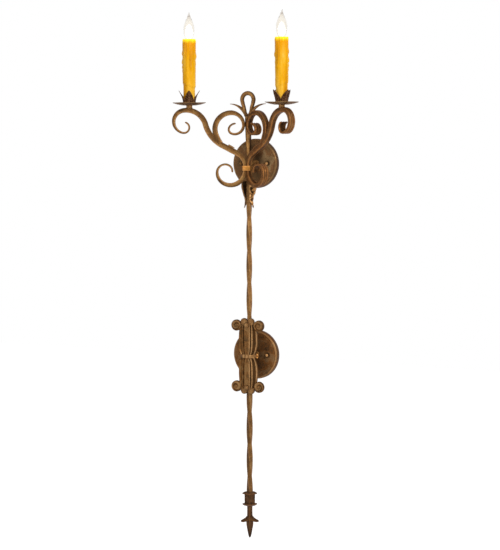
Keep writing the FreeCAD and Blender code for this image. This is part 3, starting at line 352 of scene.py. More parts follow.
@dataclass(frozen=True)
class Strip:
    """Forged flat strip carried along a plane line.

    Each row is a rounded rectangle square to the line. Near an end the section draws in by
    e (1 - sqrt(1 - (1 - d / e)^2)), with d the distance from the end, which rounds it over.
    The broad faces carry shallow grooves that grow as the strip gets thinner.
    """

    thickness: float
    width: float
    corner: float
    end_round: float
    groove: float = 0.0
    # depth of the forging marks
    dent: float = 0.22
    # side of the line whose flanks are painted darker towards it (painted shade), 1 for its left,
    # and the wear and painted highlight there of corners and ridges
    outer: int = 1
    outer_rub: float = 0.2
    crest_rub: float = 0.0
    # share of all wear and painted highlight
    wear_and_highlight: float = 1.0

    def shell(self, plane: Placement2D, line: Line, table: Table, seed: int) -> Shell:
        """Carry the strip along a line.

        Args:
            plane: where the line lies.
            line: its points, headings and lengths.
            table: rows of share of the length, thickness share and width share.
            seed: picks the forging marks.

        Returns:
            The surface with the rub and painted highlight, and the soot and painted shade, of each point.
        """
        centres, headings, lengths = line
        whole = lengths[-1]
        fine = self.end_round * (1 - np.cos(np.linspace(0, np.pi / 2, 7)))
        places = np.unique(np.concatenate([lengths, fine, whole - fine]))
        u, z, angle = (np.interp(places, lengths, column) for column in (*centres.T, headings))
        thick, wide = along_rows(table, places / whole)
        half_t = thick * self.thickness / 2
        half_w = wide * self.width / 2
        inside = np.clip(1 - np.minimum(places, whole - places) / self.end_round, 0, 1)
        inset = np.minimum(self.end_round, half_t * 0.92) * (1 - np.sqrt(1 - inside ** 2 * 0.999))
        t, w, rub = bar_section(half_t - inset, half_w - inset, self.corner)
        share = np.clip(w / half_w[:, None], -1, 1)
        across = np.abs(share)
        out = self.outer * np.clip(t / half_t[:, None], -1, 1)
        flank = ramp(across, 0.82, 0.92)
        edge = ramp(out, 0.3, 0.7)
        streak = 0.5 + 0.5 * np.cos(5 * np.pi * share)
        # painted shade: flanks darker outwards, inner broad face and face edges darker; streaks are patina
        soot = flank * (0.22 + 0.78 * edge * edge * (3 - 2 * edge)) + (1 - flank) * (
            np.where(out > 0, 0.25, 0.5) + 0.4 * across ** 3 + 0.22 * streak)
        # painted highlight: a light streak along each flank, inside its middle
        highlight_streak = flank * 0.24 * np.exp(-((out + 0.3) / 0.35) ** 2)
        # the corners' rub is wear and painted highlight
        rub = rub * np.where(out < 0, 0.8, self.outer_rub) + highlight_streak
        face = np.sign(t) * (np.abs(t) > 0.8 * (half_t - inset)[:, None])
        thin = ramp(thick, 0.9, 0.4)[:, None]
        ridge = 0.5 + 0.5 * np.cos(3 * np.pi * share)
        t = t - face * self.groove * thin * (1 - ridge) * (across < 0.93)
        # painted highlight on the ridge crests of the convex face, where the strip is thin
        lit_crest = (out > 0) * np.abs(face) * thin * ridge ** 3 * (across < 0.85)
        rub = rub + self.crest_rub * lit_crest
        soot = soot * (1 - self.crest_rub * lit_crest)
        turn = angle[:, None]
        grid = plane.place(u[:, None] - t * np.sin(turn), w, z[:, None] + t * np.cos(turn))
        centre = plane.place(u, np.zeros_like(u), z)[:, None, :]
        marks = unevenness(grid, 11.0, seed) * 0.6 + unevenness(grid, 4.5, seed + 1) * 0.4
        depth = self.dent * (np.clip(marks, -1.6, 0.4) - 0.4) * (1 - 0.6 * rub)
        grid = grid + away(grid, centre) * depth[..., None]
        return Shell(grid, rub=self.wear_and_highlight * rub, soot=np.clip(soot, 0, 1))


def lathe_grid(centre: Sequence[float], profile: Table, columns: int, axis: str = "z",
               rounds: int = 1) -> Array:
    """Surface turned about an axis through a point.

    The profile's corners are cut in passes, so that no edge is knife sharp: the first pass
    takes off 12 per cent of each run at both its ends, and the next ones a quarter.

    Args:
        centre: a point on the axis.
        profile: pairs of radius and height along the axis, from pole to pole.
        columns: points round the axis.
        axis: z for an upright axis, y for one that points into the room (height is along -Y).
        rounds: corner cutting passes.

    Returns:
        Points of shape (rows, columns, 3).
    """
    line = np.array(profile, float)
    for step in range(rounds):
        cut = 0.12 if step == 0 else 0.25
        pair = [line[:-1] * (1 - cut) + line[1:] * cut, line[:-1] * cut + line[1:] * (1 - cut)]
        line = np.concatenate([line[:1], np.stack(pair, axis=1).reshape(-1, 2), line[-1:]])
    radius = np.maximum(line[:, 0], 0.02)[:, None]
    height = line[:, 1][:, None]
    x, y = radius * np.cos(full_turn(columns)), radius * np.sin(full_turn(columns))
    grid = points(x, y, height) if axis == "z" else points(x, -height, y)
    return grid + np.array(centre, float)


def refine_line(line: Table, step: float) -> Array:
    """Points spread evenly along an open line.

    Args:
        line: its corners.
        step: the most that two points may be apart.

    Returns:
        The points, with the line's ends among them.
    """
    line = np.array(line, float)
    run = np.append(0, np.cumsum(np.linalg.norm(np.diff(line, axis=0), axis=1)))
    places = np.linspace(0, run[-1], max(2, math.ceil(run[-1] / step)) + 1)
    return np.stack([np.interp(places, run, line[:, k]) for k in range(line.shape[1])], -1)


def round_polygon(corners: Array, radius: float, steps: int) -> Array:
    """Closed outline with rounded corners, and points along its straight sides.

    At a corner the curve starts radius / tan(half the corner's angle) before it, at most 0.45
    of a side, and is the quadratic (1-t)^2 first + 2t(1-t) corner + t^2 last.

    Args:
        corners: points of shape (n, 2).
        radius: corner radius.
        steps: points on each corner and on each side.

    Returns:
        The outline's points.
    """
    before = np.roll(corners, 1, axis=0) - corners
    after = np.roll(corners, -1, axis=0) - corners
    length_before = np.linalg.norm(before, axis=1)
    length_after = np.linalg.norm(after, axis=1)
    one = before / length_before[:, None]
    two = after / length_after[:, None]
    half = np.arccos(np.clip((one * two).sum(axis=1), -1, 1)) / 2
    reach = np.minimum(radius / np.tan(half), 0.45 * np.minimum(length_before, length_after))
    first = corners + one * reach[:, None]
    last = corners + two * reach[:, None]
    t = np.linspace(0, 1, steps)[None, :, None]
    arc = (1 - t) ** 2 * first[:, None] + 2 * t * (1 - t) * corners[:, None] + t ** 2 * last[:, None]
    s = np.linspace(0, 1, steps + 2)[None, 1:-1, None]
    side = last[:, None] * (1 - s) + np.roll(first, -1, axis=0)[:, None] * s
    return np.concatenate([arc, side], axis=1).reshape(-1, 2)


def box_section(inner: float, outer: float, half_height: float) -> tuple[Array, Array]:
    """Distances and heights round a rounded rectangle, each as one row."""
    box = points([inner, outer, outer, inner], np.array([-1, -1, 1, 1]) * half_height)
    return round_polygon(box, 0.8, 5).T[:, None, :]


def ring_normals(ring: Array) -> Array:
    """Directions square to a closed outline, to the right of the way along it."""
    along = np.roll(ring, -1, axis=0) - np.roll(ring, 1, axis=0)
    along /= np.linalg.norm(along, axis=1, keepdims=True)
    return points(along[:, 1], -along[:, 0])


def leaf_columns(count: int) -> tuple[Array, Array, Array]:
    """Places across a thin leaf, out over its front and home over its back, each as one row.

    Args:
        count: places on each face.

    Returns:
        The share of the half width from -1 to 1, 0 for the front and 1 for the back, and how
        near to the rim each place is.
    """
    across = np.concatenate([np.linspace(-1, 1, count), np.linspace(1, -1, count)])[None, :]
    back = np.repeat([0.0, 1.0], count)[None, :]
    return across, back, np.clip((np.abs(across) - 0.9) / 0.1, 0, 1) ** 2


# Finishes


def linear(code: str) -> tuple[float, float, float, float]:
    """Scene-linear colour from an sRGB hex code.

    Below 0.04045 it is s / 12.92, above it ((s + 0.055) / 1.055) ^ 2.4.

    Args:
        code: the code, with its # sign.

    Returns:
        Red, green, blue and 1 for alpha.
    """
    shares = [int(code[k:k + 2], 16) / 255 for k in (1, 3, 5)]
    red, green, blue = (s / 12.92 if s <= 0.04045 else ((s + 0.055) / 1.055) ** 2.4 for s in shares)
    return red, green, blue, 1.0


LARGER = {"operation": "MAXIMUM"}
TIMES = {"operation": "MULTIPLY"}
TIMES_TO_ONE = {"operation": "MULTIPLY", "use_clamp": True}
TIMES_PLUS = {"operation": "MULTIPLY_ADD"}
COLOURS = {"data_type": "RGBA"}


class Nodes:
    """Node tree of a material or of the world."""

    def __init__(self, owner: bpy.types.ID, shader: str = "BsdfPrincipled",
                 output: str = "OutputMaterial") -> None:
        """Start with one shader that feeds the output.

        Args:
            owner: the material or world.
            shader: the shader's type.
            output: the output's type.
        """
        owner.use_nodes = True
        self.owner = owner
        self.tree = owner.node_tree
        self.tree.nodes.clear()
        self.output = self.tree.nodes.new("ShaderNode" + output)
        self.shader = self.tree.nodes.new("ShaderNode" + shader)
        self.tree.links.new(self.shader.outputs[0], self.output.inputs["Surface"])

    def add(self, kind: str, out: object = 0, settings: Optional[dict] = None,
            stops: Sequence[tuple[float, str]] = (), **inputs: object) -> Socket:
        """Add a node with its settings, values and links.

        Args:
            kind: the node's type.
            out: name or number of the output that is wanted.
            settings: attributes of the node.
            stops: places and hex codes, where the node is a colour ramp.
            inputs: values or sockets, as fill takes them.

        Returns:
            The output.
        """
        node = self.tree.nodes.new("ShaderNode" + kind)
        for name, value in (settings or {}).items():
            setattr(node, name, value)
        if stops:
            band = node.color_ramp.elements
            while len(band) < len(stops):
                band.new(0.5)
            for element, (place, code) in zip(band, stops):
                element.position = place
                element.color = linear(code)
        self.fill(node, **inputs)
        return node.outputs[out]

    def fill(self, node: bpy.types.Node, **inputs: object) -> None:
        """Set the inputs of a node, or link sockets to them.

        Args:
            node: the node.
            inputs: values or sockets by input name, with spaces as underscores, or by number
                after an n.
        """
        for name, value in inputs.items():
            socket = node.inputs[int(name[1:]) if name[1:].isdigit() else name.replace("_", " ")]
            if isinstance(value, Socket):
                self.tree.links.new(value, socket)
            else:
                socket.default_value = value

    def blotches(self, size: float, detail: float = 3.0, rough: float = 0.5,
                 stretch: tuple[float, float, float] = (1.0, 1.0, 1.0)) -> Socket:
        """Noise in object coordinates.

        Args:
            size: how wide a blotch is, in mm.
            detail: octaves of finer noise.
            rough: strength of the finer noise.
            stretch: scale along each axis, below 1 for longer blotches.

        Returns:
            A value about 0.5.
        """
        place = self.add("TexCoord", "Object")
        scaled = self.add("Mapping", Vector=place, Scale=stretch)
        return self.add("TexNoise", "Fac", Vector=scaled, Scale=0.5 / (size * METRE), Detail=detail,
                        Roughness=rough)

    def seen_rays(self) -> Socket:
        """1 for rays from the camera, off metal and through glass, 0 for those that light things."""
        rays = self.add("LightPath").node.outputs
        first = self.add("Math", 0, LARGER, n0=rays["Is Camera Ray"], n1=rays["Is Glossy Ray"])
        return self.add("Math", 0, LARGER, n0=first, n1=rays["Is Transmission Ray"])


@dataclass(frozen=True)
class AntiqueBronze:
    """Antique bronze lacquer rubbed over dark forged iron.

    Brushed on by hand and wiped: golden brown in soft blotches with hollows dark with soot, and
    bare copper-coloured metal where the rag rubbed. The soot mark also carries painted shade, such as
    darker outer edges, and the rub mark painted highlights. It gives a soft broken sheen.
    edges, and bare copper-coloured metal where the rag rubbed. It gives a soft broken sheen.
    """

    name: str
    dark: str = "#26180f"
    middle: str = "#5c4125"
    rust: str = "#714b26"
    warm: str = "#88663a"
    # the bright tone is that of rubbed metal and of painted highlights
    bright: str = "#dca66c"
    # sizes of the colour's blotches and of the hammer marks, in mm
    patch: float = 9.0
    hammer: float = 6.0
    depth: float = 0.25
    rub_share: float = 0.75
    soot_share: float = 0.85
    roughness: float = 0.42

    def build(self) -> Material:
        """Blotches pick dark, middle or warm brown; soot and painted shade darken them,
        and rub and painted highlights brighten them.

        Returns:
            The material.
        """
        nodes = Nodes(bpy.data.materials.new(self.name))
        broad = nodes.blotches(self.patch, 3.0, 0.55)
        # the real grain is finer than 1 mm and is drawn at 1.8 mm so that it shows in the render
        grain = nodes.blotches(1.8, 4.0, 0.6)
        both = nodes.add("Mix", 0, {"data_type": "FLOAT"}, Factor=0.25, n2=broad, n3=grain)
        stops = ((0.27, self.dark), (0.41, self.middle), (0.5, self.rust), (0.58, self.warm),
                 (0.72, self.middle))
        base = nodes.add("ValToRGB", Fac=both, stops=stops)
        # soot, and painted shade, pull the colour to the dark tone
        soot = nodes.add("Attribute", "Fac", {"attribute_name": "soot"})
        blotchy = nodes.add("Math", 0, TIMES_PLUS, n0=broad, n1=0.8, n2=0.6)
        sooted_and_shaded = nodes.add("Math", 0, TIMES_TO_ONE, n0=soot, n1=blotchy)
        dulled = nodes.add("Math", 0, TIMES, n0=sooted_and_shaded, n1=self.soot_share)
        shaded = nodes.add("Mix", "Result", COLOURS, Factor=dulled, A=base, B=linear(self.dark))
        # rub, and painted highlights, pull it to the bright tone
        rub = nodes.add("Attribute", "Fac", {"attribute_name": "rub"})
        # the grain breaks up rub and painted highlights alike
        worn = nodes.add("Math", 0, TIMES_PLUS, n0=grain, n1=1.1, n2=-0.02)
        rubbed_and_lit = nodes.add("Math", 0, TIMES_TO_ONE, n0=rub, n1=worn)
        shown = nodes.add("Math", 0, TIMES, n0=rubbed_and_lit, n1=self.rub_share)
        colour = nodes.add("Mix", "Result", COLOURS, Factor=shown, A=shaded, B=linear(self.bright))
        gloss = nodes.add("MapRange", Value=both, From_Min=0.3, From_Max=0.7, To_Min=self.roughness + 0.12,
                          To_Max=self.roughness - 0.08)
        hammer = nodes.blotches(self.hammer, 2.0, 0.4)
        relief = nodes.add("Math", 0, TIMES_PLUS, n0=grain, n1=0.25, n2=hammer)
        bump = nodes.add("Bump", Height=relief, Strength=self.depth, Distance=0.8 * METRE)
        nodes.fill(nodes.shader, Base_Color=colour, Metallic=0.3, Roughness=gloss, Specular_IOR_Level=0.2,
                   Specular_Tint=linear("#e0a868"), Normal=bump)
        return nodes.owner


@dataclass(frozen=True)
class AmberResin:
    """Cast polyresin candle sleeve, amber all through, with a satin moulded skin.

    Light enters it, so that it looks even and deep; the lamp's yellow glow at its top edge is
    painted on, and the whole sleeve glows faintly.
    """

    name: str = "amber_cast_resin"
    body: str = "#dfa006"
    deep: str = "#c68202"
    pale: str = "#eab438"
    # the last two tones are the yellow and the orange of the painted lamp glow
    top: str = "#ffe224"
    glow_orange: str = "#e29602"

    def build(self) -> Material:
        """Soft upright streaks of amber; the glow mark paints the lamp's light on as colour and emission,
        through orange to lit yellow.

        Returns:
            The material.
        """
        nodes = Nodes(bpy.data.materials.new(self.name))
        streak = nodes.blotches(7.0, 2.0, 0.5, (1.0, 1.0, 0.12))
        base = nodes.add("ValToRGB", Fac=streak,
                         stops=((0.32, self.deep), (0.48, self.body), (0.64, self.pale)))
        glow = nodes.add("Attribute", "Fac", {"attribute_name": "glow"})
        warmth = nodes.add("MapRange", Value=glow, From_Min=0.0, From_Max=0.35)
        warmed = nodes.add("Mix", "Result", COLOURS, Factor=warmth, A=base, B=linear(self.glow_orange))
        lit = nodes.add("MapRange", Value=glow, From_Min=0.42, From_Max=0.95)
        colour = nodes.add("Mix", "Result", COLOURS, Factor=lit, A=warmed, B=linear(self.top))
        # painted glow: emission that grows with the glow mark, and a faint one all over
        painted_light = nodes.add("Math", 0, TIMES_PLUS, n0=lit, n1=0.34, n2=0.08)
        nodes.fill(nodes.shader, Base_Color=colour, Roughness=0.36, Specular_IOR_Level=0.1,
                   Emission_Color=colour, Emission_Strength=painted_light)
        return nodes.owner


@dataclass(frozen=True)
class LampGlass:
    """Clear blown soda-lime glass of the lamp, smooth on both sides.

    Looking along its wall, where the way through it is long, it turns a warm grey.
    """

    name: str = "clear_blown_glass"

    def build(self) -> Material:
        """Clear surface; the glass between takes up about 8 per cent of the light in each mm.

        Returns:
            The material.
        """
        nodes = Nodes(bpy.data.materials.new(self.name))
        mottle = nodes.blotches(20.0, 1.0)
        tint = nodes.add("ValToRGB", Fac=mottle, stops=((0.3, "#fffdf8"), (0.7, "#fdfaf4")))
        nodes.fill(nodes.shader, Base_Color=tint, Roughness=0.02, IOR=1.5, Transmission_Weight=1.0)
        wall = nodes.add("VolumeAbsorption", Color=linear("#b5a698"), Density=130.0)
        nodes.fill(nodes.output, Volume=wall)
        return nodes.owner


@dataclass(frozen=True)
class LampGlow:
    """Hot filament and the bloom round it inside the lit lamp, which look plain white."""

    name: str = "lit_filament"

    def build(self) -> Material:
        """White light, a little warmer in soft blotches.

        Returns:
            The material.
        """
        nodes = Nodes(bpy.data.materials.new(self.name))
        spread = nodes.blotches(12.0, 1.0)
        tint = nodes.add("ValToRGB", Fac=spread, stops=((0.3, "#fffaf0"), (0.7, "#ffffff")))
        nodes.fill(nodes.shader, Base_Color=tint, Roughness=0.6, Emission_Color=tint, Emission_Strength=1.0)
        return nodes.owner


@dataclass(frozen=True)
class PlainMetal:
    """Small turned or plated metal part, of nickel, zinc or lacquer, with fine turning marks."""

    name: str
    colour: str
    shade: str
    roughness: float
    metallic: float = 1.0

    def build(self) -> Material:
        """Two close tones in blotches and a light bump from the turning marks.

        Returns:
            The material.
        """
        nodes = Nodes(bpy.data.materials.new(self.name))
        blotch = nodes.blotches(3.0)
        base = nodes.add("ValToRGB", Fac=blotch, stops=((0.35, self.shade), (0.6, self.colour)))
        gloss = nodes.add("MapRange", Value=blotch, To_Min=self.roughness + 0.1,
                          To_Max=self.roughness - 0.06)
        bump = nodes.add("Bump", Height=blotch, Strength=0.15, Distance=0.2 * METRE)
        nodes.fill(nodes.shader, Base_Color=base, Metallic=self.metallic, Roughness=gloss, Normal=bump)
        return nodes.owner


@dataclass(frozen=True)
class MouldedPhenolic:
    """Dark moulded phenolic of the lamp sockets: hard, matt, faintly speckled."""

    name: str = "moulded_phenolic"

    def build(self) -> Material:
        """Nearly black with a fine speckle.

        Returns:
            The material.
        """
        nodes = Nodes(bpy.data.materials.new(self.name))
        speck = nodes.blotches(0.8, 4.0)
        base = nodes.add("ValToRGB", Fac=speck, stops=((0.4, "#1a1613"), (0.65, "#2c2621")))
        nodes.fill(nodes.shader, Base_Color=base, Roughness=0.5, IOR=1.55)
        return nodes.owner


class Finishes:
    """Every finish of the sconce, built once."""

    def __init__(self) -> None:
        """Build the bronzes from dark, middle, rust, warm and bright tones, and then the rest."""
        self.iron = AntiqueBronze("antique_bronze_on_forged_iron").build()
        self.sheet = AntiqueBronze("antique_bronze_on_spun_steel", "#2c1d12", "#5f482f", "#6d4b2e", "#876d4c",
                                   "#b4905e", patch=16.0, hammer=9.0, depth=0.12).build()
        self.rusty = AntiqueBronze("rusty_bronze_on_spun_steel", "#26170d", "#523a25", "#714723", "#7a5b3c",
                                   "#bc8e5e", patch=13.0, hammer=9.0, depth=0.12).build()
        self.worn = AntiqueBronze("rubbed_bronze_on_hammered_post", "#24160d", "#7a552d", "#8a5c2c",
                                  "#ab7d44", "#ecb878", patch=7.0, soot_share=0.95).build()
        # the right arm's finish: a darker copy of the forged iron one as painted shade, with copper edges
        self.shaded_copper = AntiqueBronze("antique_bronze_shaded_with_copper_edges", "#1f130c", "#543b24", "#6f4522",
                                    "#7d5b36", "#d08a4c").build()
        self.petal = AntiqueBronze("antique_bronze_on_pressed_leaf", "#1d120c", "#37251a", "#4c301c",
                                   "#6a4a32", "#a87c5a", patch=4.0, hammer=2.5, depth=0.4).build()
        self.gold = AntiqueBronze("rubbed_bronze_band", "#38220f", "#a87436", "#b07434", "#c48a4c", "#ecae6c",
                                  patch=6.0, depth=0.15, rub_share=0.6, roughness=0.36).build()
        self.leaf = AntiqueBronze("rubbed_bronze_embossed_leaf", "#120a05", "#80582f", "#95602c",
                                  "#b9854a", "#f4bd80", patch=5.0, hammer=3.0, depth=0.5,
                                  soot_share=0.98).build()
        self.cast = AntiqueBronze("antique_bronze_on_cast_iron", "#25180e", "#573f25", "#684321",
                                  "#7c5c38", "#deae78", patch=7.0, hammer=2.2, depth=0.3,
                                  soot_share=0.75).build()
        self.finial = AntiqueBronze("antique_bronze_on_dark_finial", "#18100a", "#35261a", "#4c301c",
                                    "#543c27", "#b47a44", patch=6.0, depth=0.2).build()
        self.resin = AmberResin().build()
        self.glass = LampGlass().build()
        self.glow = LampGlow().build()
        self.zinc = PlainMetal("zinc_plated_steel", "#b9bab6", "#8f918e", 0.36).build()
        self.nickel = PlainMetal("nickel_plated_brass", "#d9cfb6", "#b5a887", 0.24).build()
        self.green = PlainMetal("green_lacquered_screw", "#2c7a3a", "#1d5a2a", 0.4, 0.2).build()
        self.phenolic = MouldedPhenolic().build()


# Sub-assemblies


@dataclass
class Arm:
    """One S-scrolled arm with its lower scroll, inner scroll and lap."""

    finishes: Finishes
    side: Side
    joint: float = 56.6
    tilt: float = 27.0
    span: float = 150.0
    offset: float = 5.7
    thickness: float = 14.2
    width: float = 13.4
    # thickness and width in the collar, as shares
    root: tuple = (0.73, 0.83)
    band_top: float = -5.0
    band_bottom: float = -17.4
    inner_root: tuple = (66.6, 49.6)
    inner_heading: float = 54.8
    # each bend: radius as a share of the span, and turn in degrees
    upper_bends: tuple = ((0.236, -62.2), (0.289, 0.0), (0.574, 46.8), (0.33, -86.3), (0.192, -157.2),
                          (0.091, -178.8))
    lower_bends: tuple = ((0.247, 114.6), (0.209, 68.5), (0.136, 111.6), (0.11, 77.3))
    inner_bends: tuple = ((0.675, 15.6), (0.277, 109.3), (0.208, 95.2), (0.149, 106.5), (0.075, 96.9),
                          (0.121, 63.7))
    # along a strip: place, thickness and width, each as a share
    upper_table: tuple = ((0.0, 0.73, 0.83), (0.08, 0.88, 0.93), (0.15, 1.0, 1.0), (0.42, 1.0, 1.0),
                          (0.57, 0.95, 1.08), (0.66, 0.82, 1.2), (0.76, 0.64, 1.35), (0.84, 0.45, 1.5),
                          (0.9, 0.36, 1.62), (1.0, 0.31, 1.7))
    lower_table: tuple = ((0.0, 0.73, 0.83), (0.12, 0.86, 0.95), (0.24, 0.87, 1.02), (0.34, 0.77, 1.1),
                          (0.55, 0.62, 1.25), (0.69, 0.46, 1.45), (0.76, 0.38, 1.55), (1.0, 0.35, 1.7))
    inner_table: tuple = ((0.0, 0.98, 1.0), (0.3, 0.95, 1.0), (0.45, 0.87, 1.08), (0.52, 0.73, 1.15),
                          (0.7, 0.55, 1.35), (0.8, 0.45, 1.5), (0.9, 0.39, 1.62), (1.0, 0.32, 1.7))
    lap_table: tuple = ((0.0, 0.45, 0.86), (0.5, 0.95, 0.98), (1.0, 1.0, 1.0))
    lap_start: float = 53.0
    lap_length: float = 16.0
    lap_height: float = 4.0
    corner: float = 1.9
    end_round: float = 3.2
    groove: float = 1.3

    def __post_init__(self) -> None:
        """Set what differs: the left arm is golden, the right one has painted shade and copper edges."""
        right = self.side is Side.RIGHT
        self.plane = Placement2D((0.0, -self.joint, 0.0), -self.tilt if right else 180 + self.tilt)
        self.material = self.finishes.shaded_copper if right else self.finishes.iron
        self.seed = 47 if right else 11
        # rub and painted highlight of the outer corners and of the ridge crests
        self.arm_rub, self.arm_crest_highlight = (0.6, 0.9) if right else (0.2, 0.0)
        self.inner_rub, self.inner_crest_highlight = (0.8, 0.5) if right else (0.2, 0.0)
        self.upper = self.line((self.offset, self.band_top), 90.0, self.upper_bends)

    def line(self, start: Sequence[float], heading: float, bends: Table) -> Line:
        """Plane line whose radii are shares of the span."""
        return arc_chain(start, heading, [(share * self.span, turn) for share, turn in bends])

    def build(self) -> None:
        """Make the arm, from its lower scroll's tip to its upper one's, with what is on it."""
        low_place, low_turn, low_run = self.line((self.offset, self.band_bottom), -90.0, self.lower_bends)
        place, turn, run = self.upper
        low = low_run[-1]
        start = low + self.band_top - self.band_bottom
        whole = start + run[-1]
        line = (np.concatenate([low_place[::-1], place]), np.concatenate([low_turn[::-1] + np.pi, turn]),
                np.concatenate([low - low_run[::-1], start + run]))
        table = [(low * (1 - row[0]) / whole, *row[1:]) for row in reversed(self.lower_table)]
        table += [((start + run[-1] * row[0]) / whole, *row[1:]) for row in self.upper_table]
        strip = Strip(self.thickness, self.width, self.corner, self.end_round, self.groove,
                      outer_rub=self.arm_rub, crest_rub=self.arm_crest_highlight)
        shell = strip.shell(self.plane, line, table, self.seed)
        shell.finish(*self.side.names("scrolled_arm", "arm"), self.material)
        self.build_inner()
        self.build_lap()

    def build_inner(self) -> None:
        """C-scroll that springs from the arm; it starts a little inside the arm."""
        line = self.line(self.inner_root, self.inner_heading, self.inner_bends)
        strip = Strip(self.thickness, self.width, self.corner, self.end_round, self.groove, outer=-1,
                      outer_rub=self.inner_rub, crest_rub=self.inner_crest_highlight)
        shell = strip.shell(self.plane, line, self.inner_table, self.seed + 5)
        shell.finish(*self.side.names("c_scroll", "inner_scroll"), self.material)

    def build_lap(self) -> None:
        """Thin end of the inner scroll, hammered down on to the arm."""
        place, turn, run = self.upper
        kept = (run >= self.lap_start - 2) & (run <= self.lap_start + self.lap_length)
        lift = self.thickness / 2 + self.lap_height * 0.36
        raised = place + points(-np.sin(turn), np.cos(turn)) * lift
        line = raised[kept], turn[kept], run[kept] - run[kept][0]
        strip = Strip(self.lap_height, self.width, corner=1.4, end_round=1.6, dent=0.15)
        shell = strip.shell(self.plane, line, self.lap_table, self.seed + 9)
        shell.finish(*self.side.names("lap", "arm_clip"), self.material)


@dataclass
class Upright:
    """Post, hanging loop, top leaves and the collar band."""

    finishes: Finishes
    arm: Arm
    bar_top: float = 3.0
    post_top: float = 120.0
    lean: float = 2.8
    post_hollow: float = 0.9
    loop_radius: float = 16.2
    loop_foot: float = 3.55
    loop_height: float = 42.8
    collar_middle: float = -11.2
    collar_half: float = 6.2
    collar_thickness: float = 1.75
    # along the post: share, half width and half depth; along the loop: share and two half thicknesses
    post_table: tuple = ((0.0, 3.9, 4.0), (0.25, 4.9, 4.2), (0.55, 6.6, 4.4), (0.85, 6.9, 4.5),
                         (1.0, 6.7, 4.4))
    loop_table: tuple = ((0.0, 3.36, 4.5), (0.2, 4.8, 4.5), (0.5, 5.6, 4.5), (0.8, 4.8, 4.5),
                         (1.0, 3.36, 4.5))
    # a leaf bends from this angle in degrees until it is level, at this radius
    leaf_turn: float = 66.5
    leaf_radius: float = 52.1
    # along a leaf: place, thickness and width, each as a share
    leaf_table: tuple = ((0.0, 0.95, 1.0), (0.35, 0.8, 0.95), (0.7, 0.45, 0.7), (1.0, 0.14, 0.25))

    def depth(self, height: Array | float) -> Array | float:
        """Depth of the post's middle at a height: it leans towards the room."""
        return -BACK - (height - self.bar_top) * math.tan(math.radians(self.lean))

    def build(self) -> None:
        """Make the post, the loop, the leaves and the band."""
        self.build_post()
        self.build_loop()
        for side in Side:
            self.build_leaf(side)
        self.build_band()

    def build_post(self) -> None:
        """Bar hammered flat in front: narrow at the band, widest over its upper half.

        Its front face is hollow by post_hollow (1 - (1.25 w)^2), with w from -1 to 1 across it.
        """
        up = np.linspace(self.bar_top, self.post_top, 90)
        share = (up - up[0]) / (up[-1] - up[0])
        half_w, half_d = along_rows(self.post_table, share)
        d, w, _ = bar_section(half_d, half_w, 1.2, 4, 11)
        across = w / half_w[:, None]
        front = (d > 0.7 * half_d[:, None]) * np.clip(1 - (across * 1.25) ** 2, 0, 1)
        d = d - front * self.post_hollow * np.clip(share * 3, 0, 1)[:, None]
        grid = points(w, self.depth(up)[:, None] - d, up[:, None])
        grid[..., 1] -= dents(grid, 16.0, 5, -1.5, 0.4) * 0.16 * np.sign(d)
        # painted highlight down the hollow middle of the front face, and painted shade towards its sides
        soot = np.clip(1.7 * np.abs(across) ** 2.5 - 0.7, 0, 1)
        Shell(grid, rub=0.7 * front, soot=soot).finish("post", "upper_post", self.finishes.worn)

    def build_loop(self) -> None:
        """Round bar bent up one leg, over the crown and down the other.

        The legs spread by atan(rise / foot) - acos(radius / reach), so that they run into the
        crown's arc without a corner.
        """
        sunk = 5.0
        rise = self.loop_height + sunk
        reach = math.hypot(self.loop_foot, rise)
        spread = math.degrees(math.atan2(rise, self.loop_foot) - math.acos(self.loop_radius / reach))
        leg = math.sqrt(reach ** 2 - self.loop_radius ** 2)
        centres, turns, run = arc_chain((self.loop_foot, self.post_top - sunk), 90 - spread,
                                        [(leg, 0), (self.loop_radius, 180 + 2 * spread), (leg, 0)])
        half_t, half_w = along_rows(self.loop_table, run / run[-1])
        t, w, _ = bar_section(half_t, half_w, 3.6, 7, 5)
        x = centres[:, 0][:, None] - t * np.sin(turns)[:, None]
        z = centres[:, 1][:, None] + t * np.cos(turns)[:, None]
        # below the eye the legs keep clear of each other
        first = (np.arange(len(run)) < len(run) / 2)[:, None]
        low = np.abs(centres[:, 1] - self.loop_height - self.post_top)[:, None] > 20
        x = np.where(low, np.where(first, np.maximum(x, 0.06), np.minimum(x, -0.06)), x)
        kept = centres[:, 1] > self.post_top - 0.5
        depth = self.depth(self.post_top)
        grid = points(x, depth + w, z)[kept]
        centre = points(centres[:, 0], depth, centres[:, 1])[kept][:, None, :]
        grid = grid + away(grid, centre) * (dents(grid, 9.0, 8, -1.5) * 0.25)[..., None]
        grid[..., 2] = np.maximum(grid[..., 2], self.post_top + 0.02)
        # painted highlight down the middle of the bar and painted shade at its edges
        edge = np.abs(t / half_t[:, None])[kept]
        shell = Shell(grid, rub=0.5 * (1 - edge), soot=0.9 * edge ** 3)
        shell.finish("hanging_ring", "hanging_loop", self.finishes.iron)

    def build_leaf(self, side: Side) -> None:
        """Slender pointed leaf that curls out from the foot of the loop.

        Args:
            side: which of the two.
        """
        plane = Placement2D((0.0, self.depth(self.post_top), 0.0), 0.0 if side is Side.RIGHT else 180.0)
        line = arc_chain((3.6, self.post_top + 0.6), self.leaf_turn, [(self.leaf_radius, -self.leaf_turn)])
        strip = Strip(9.2, 9.0, corner=1.6, end_round=1.0, dent=0.15)
        shell = strip.shell(plane, line, self.leaf_table, 70 + side.value)
        shell.finish(*side.names("leaf_spur", "top_leaf"), self.finishes.iron)

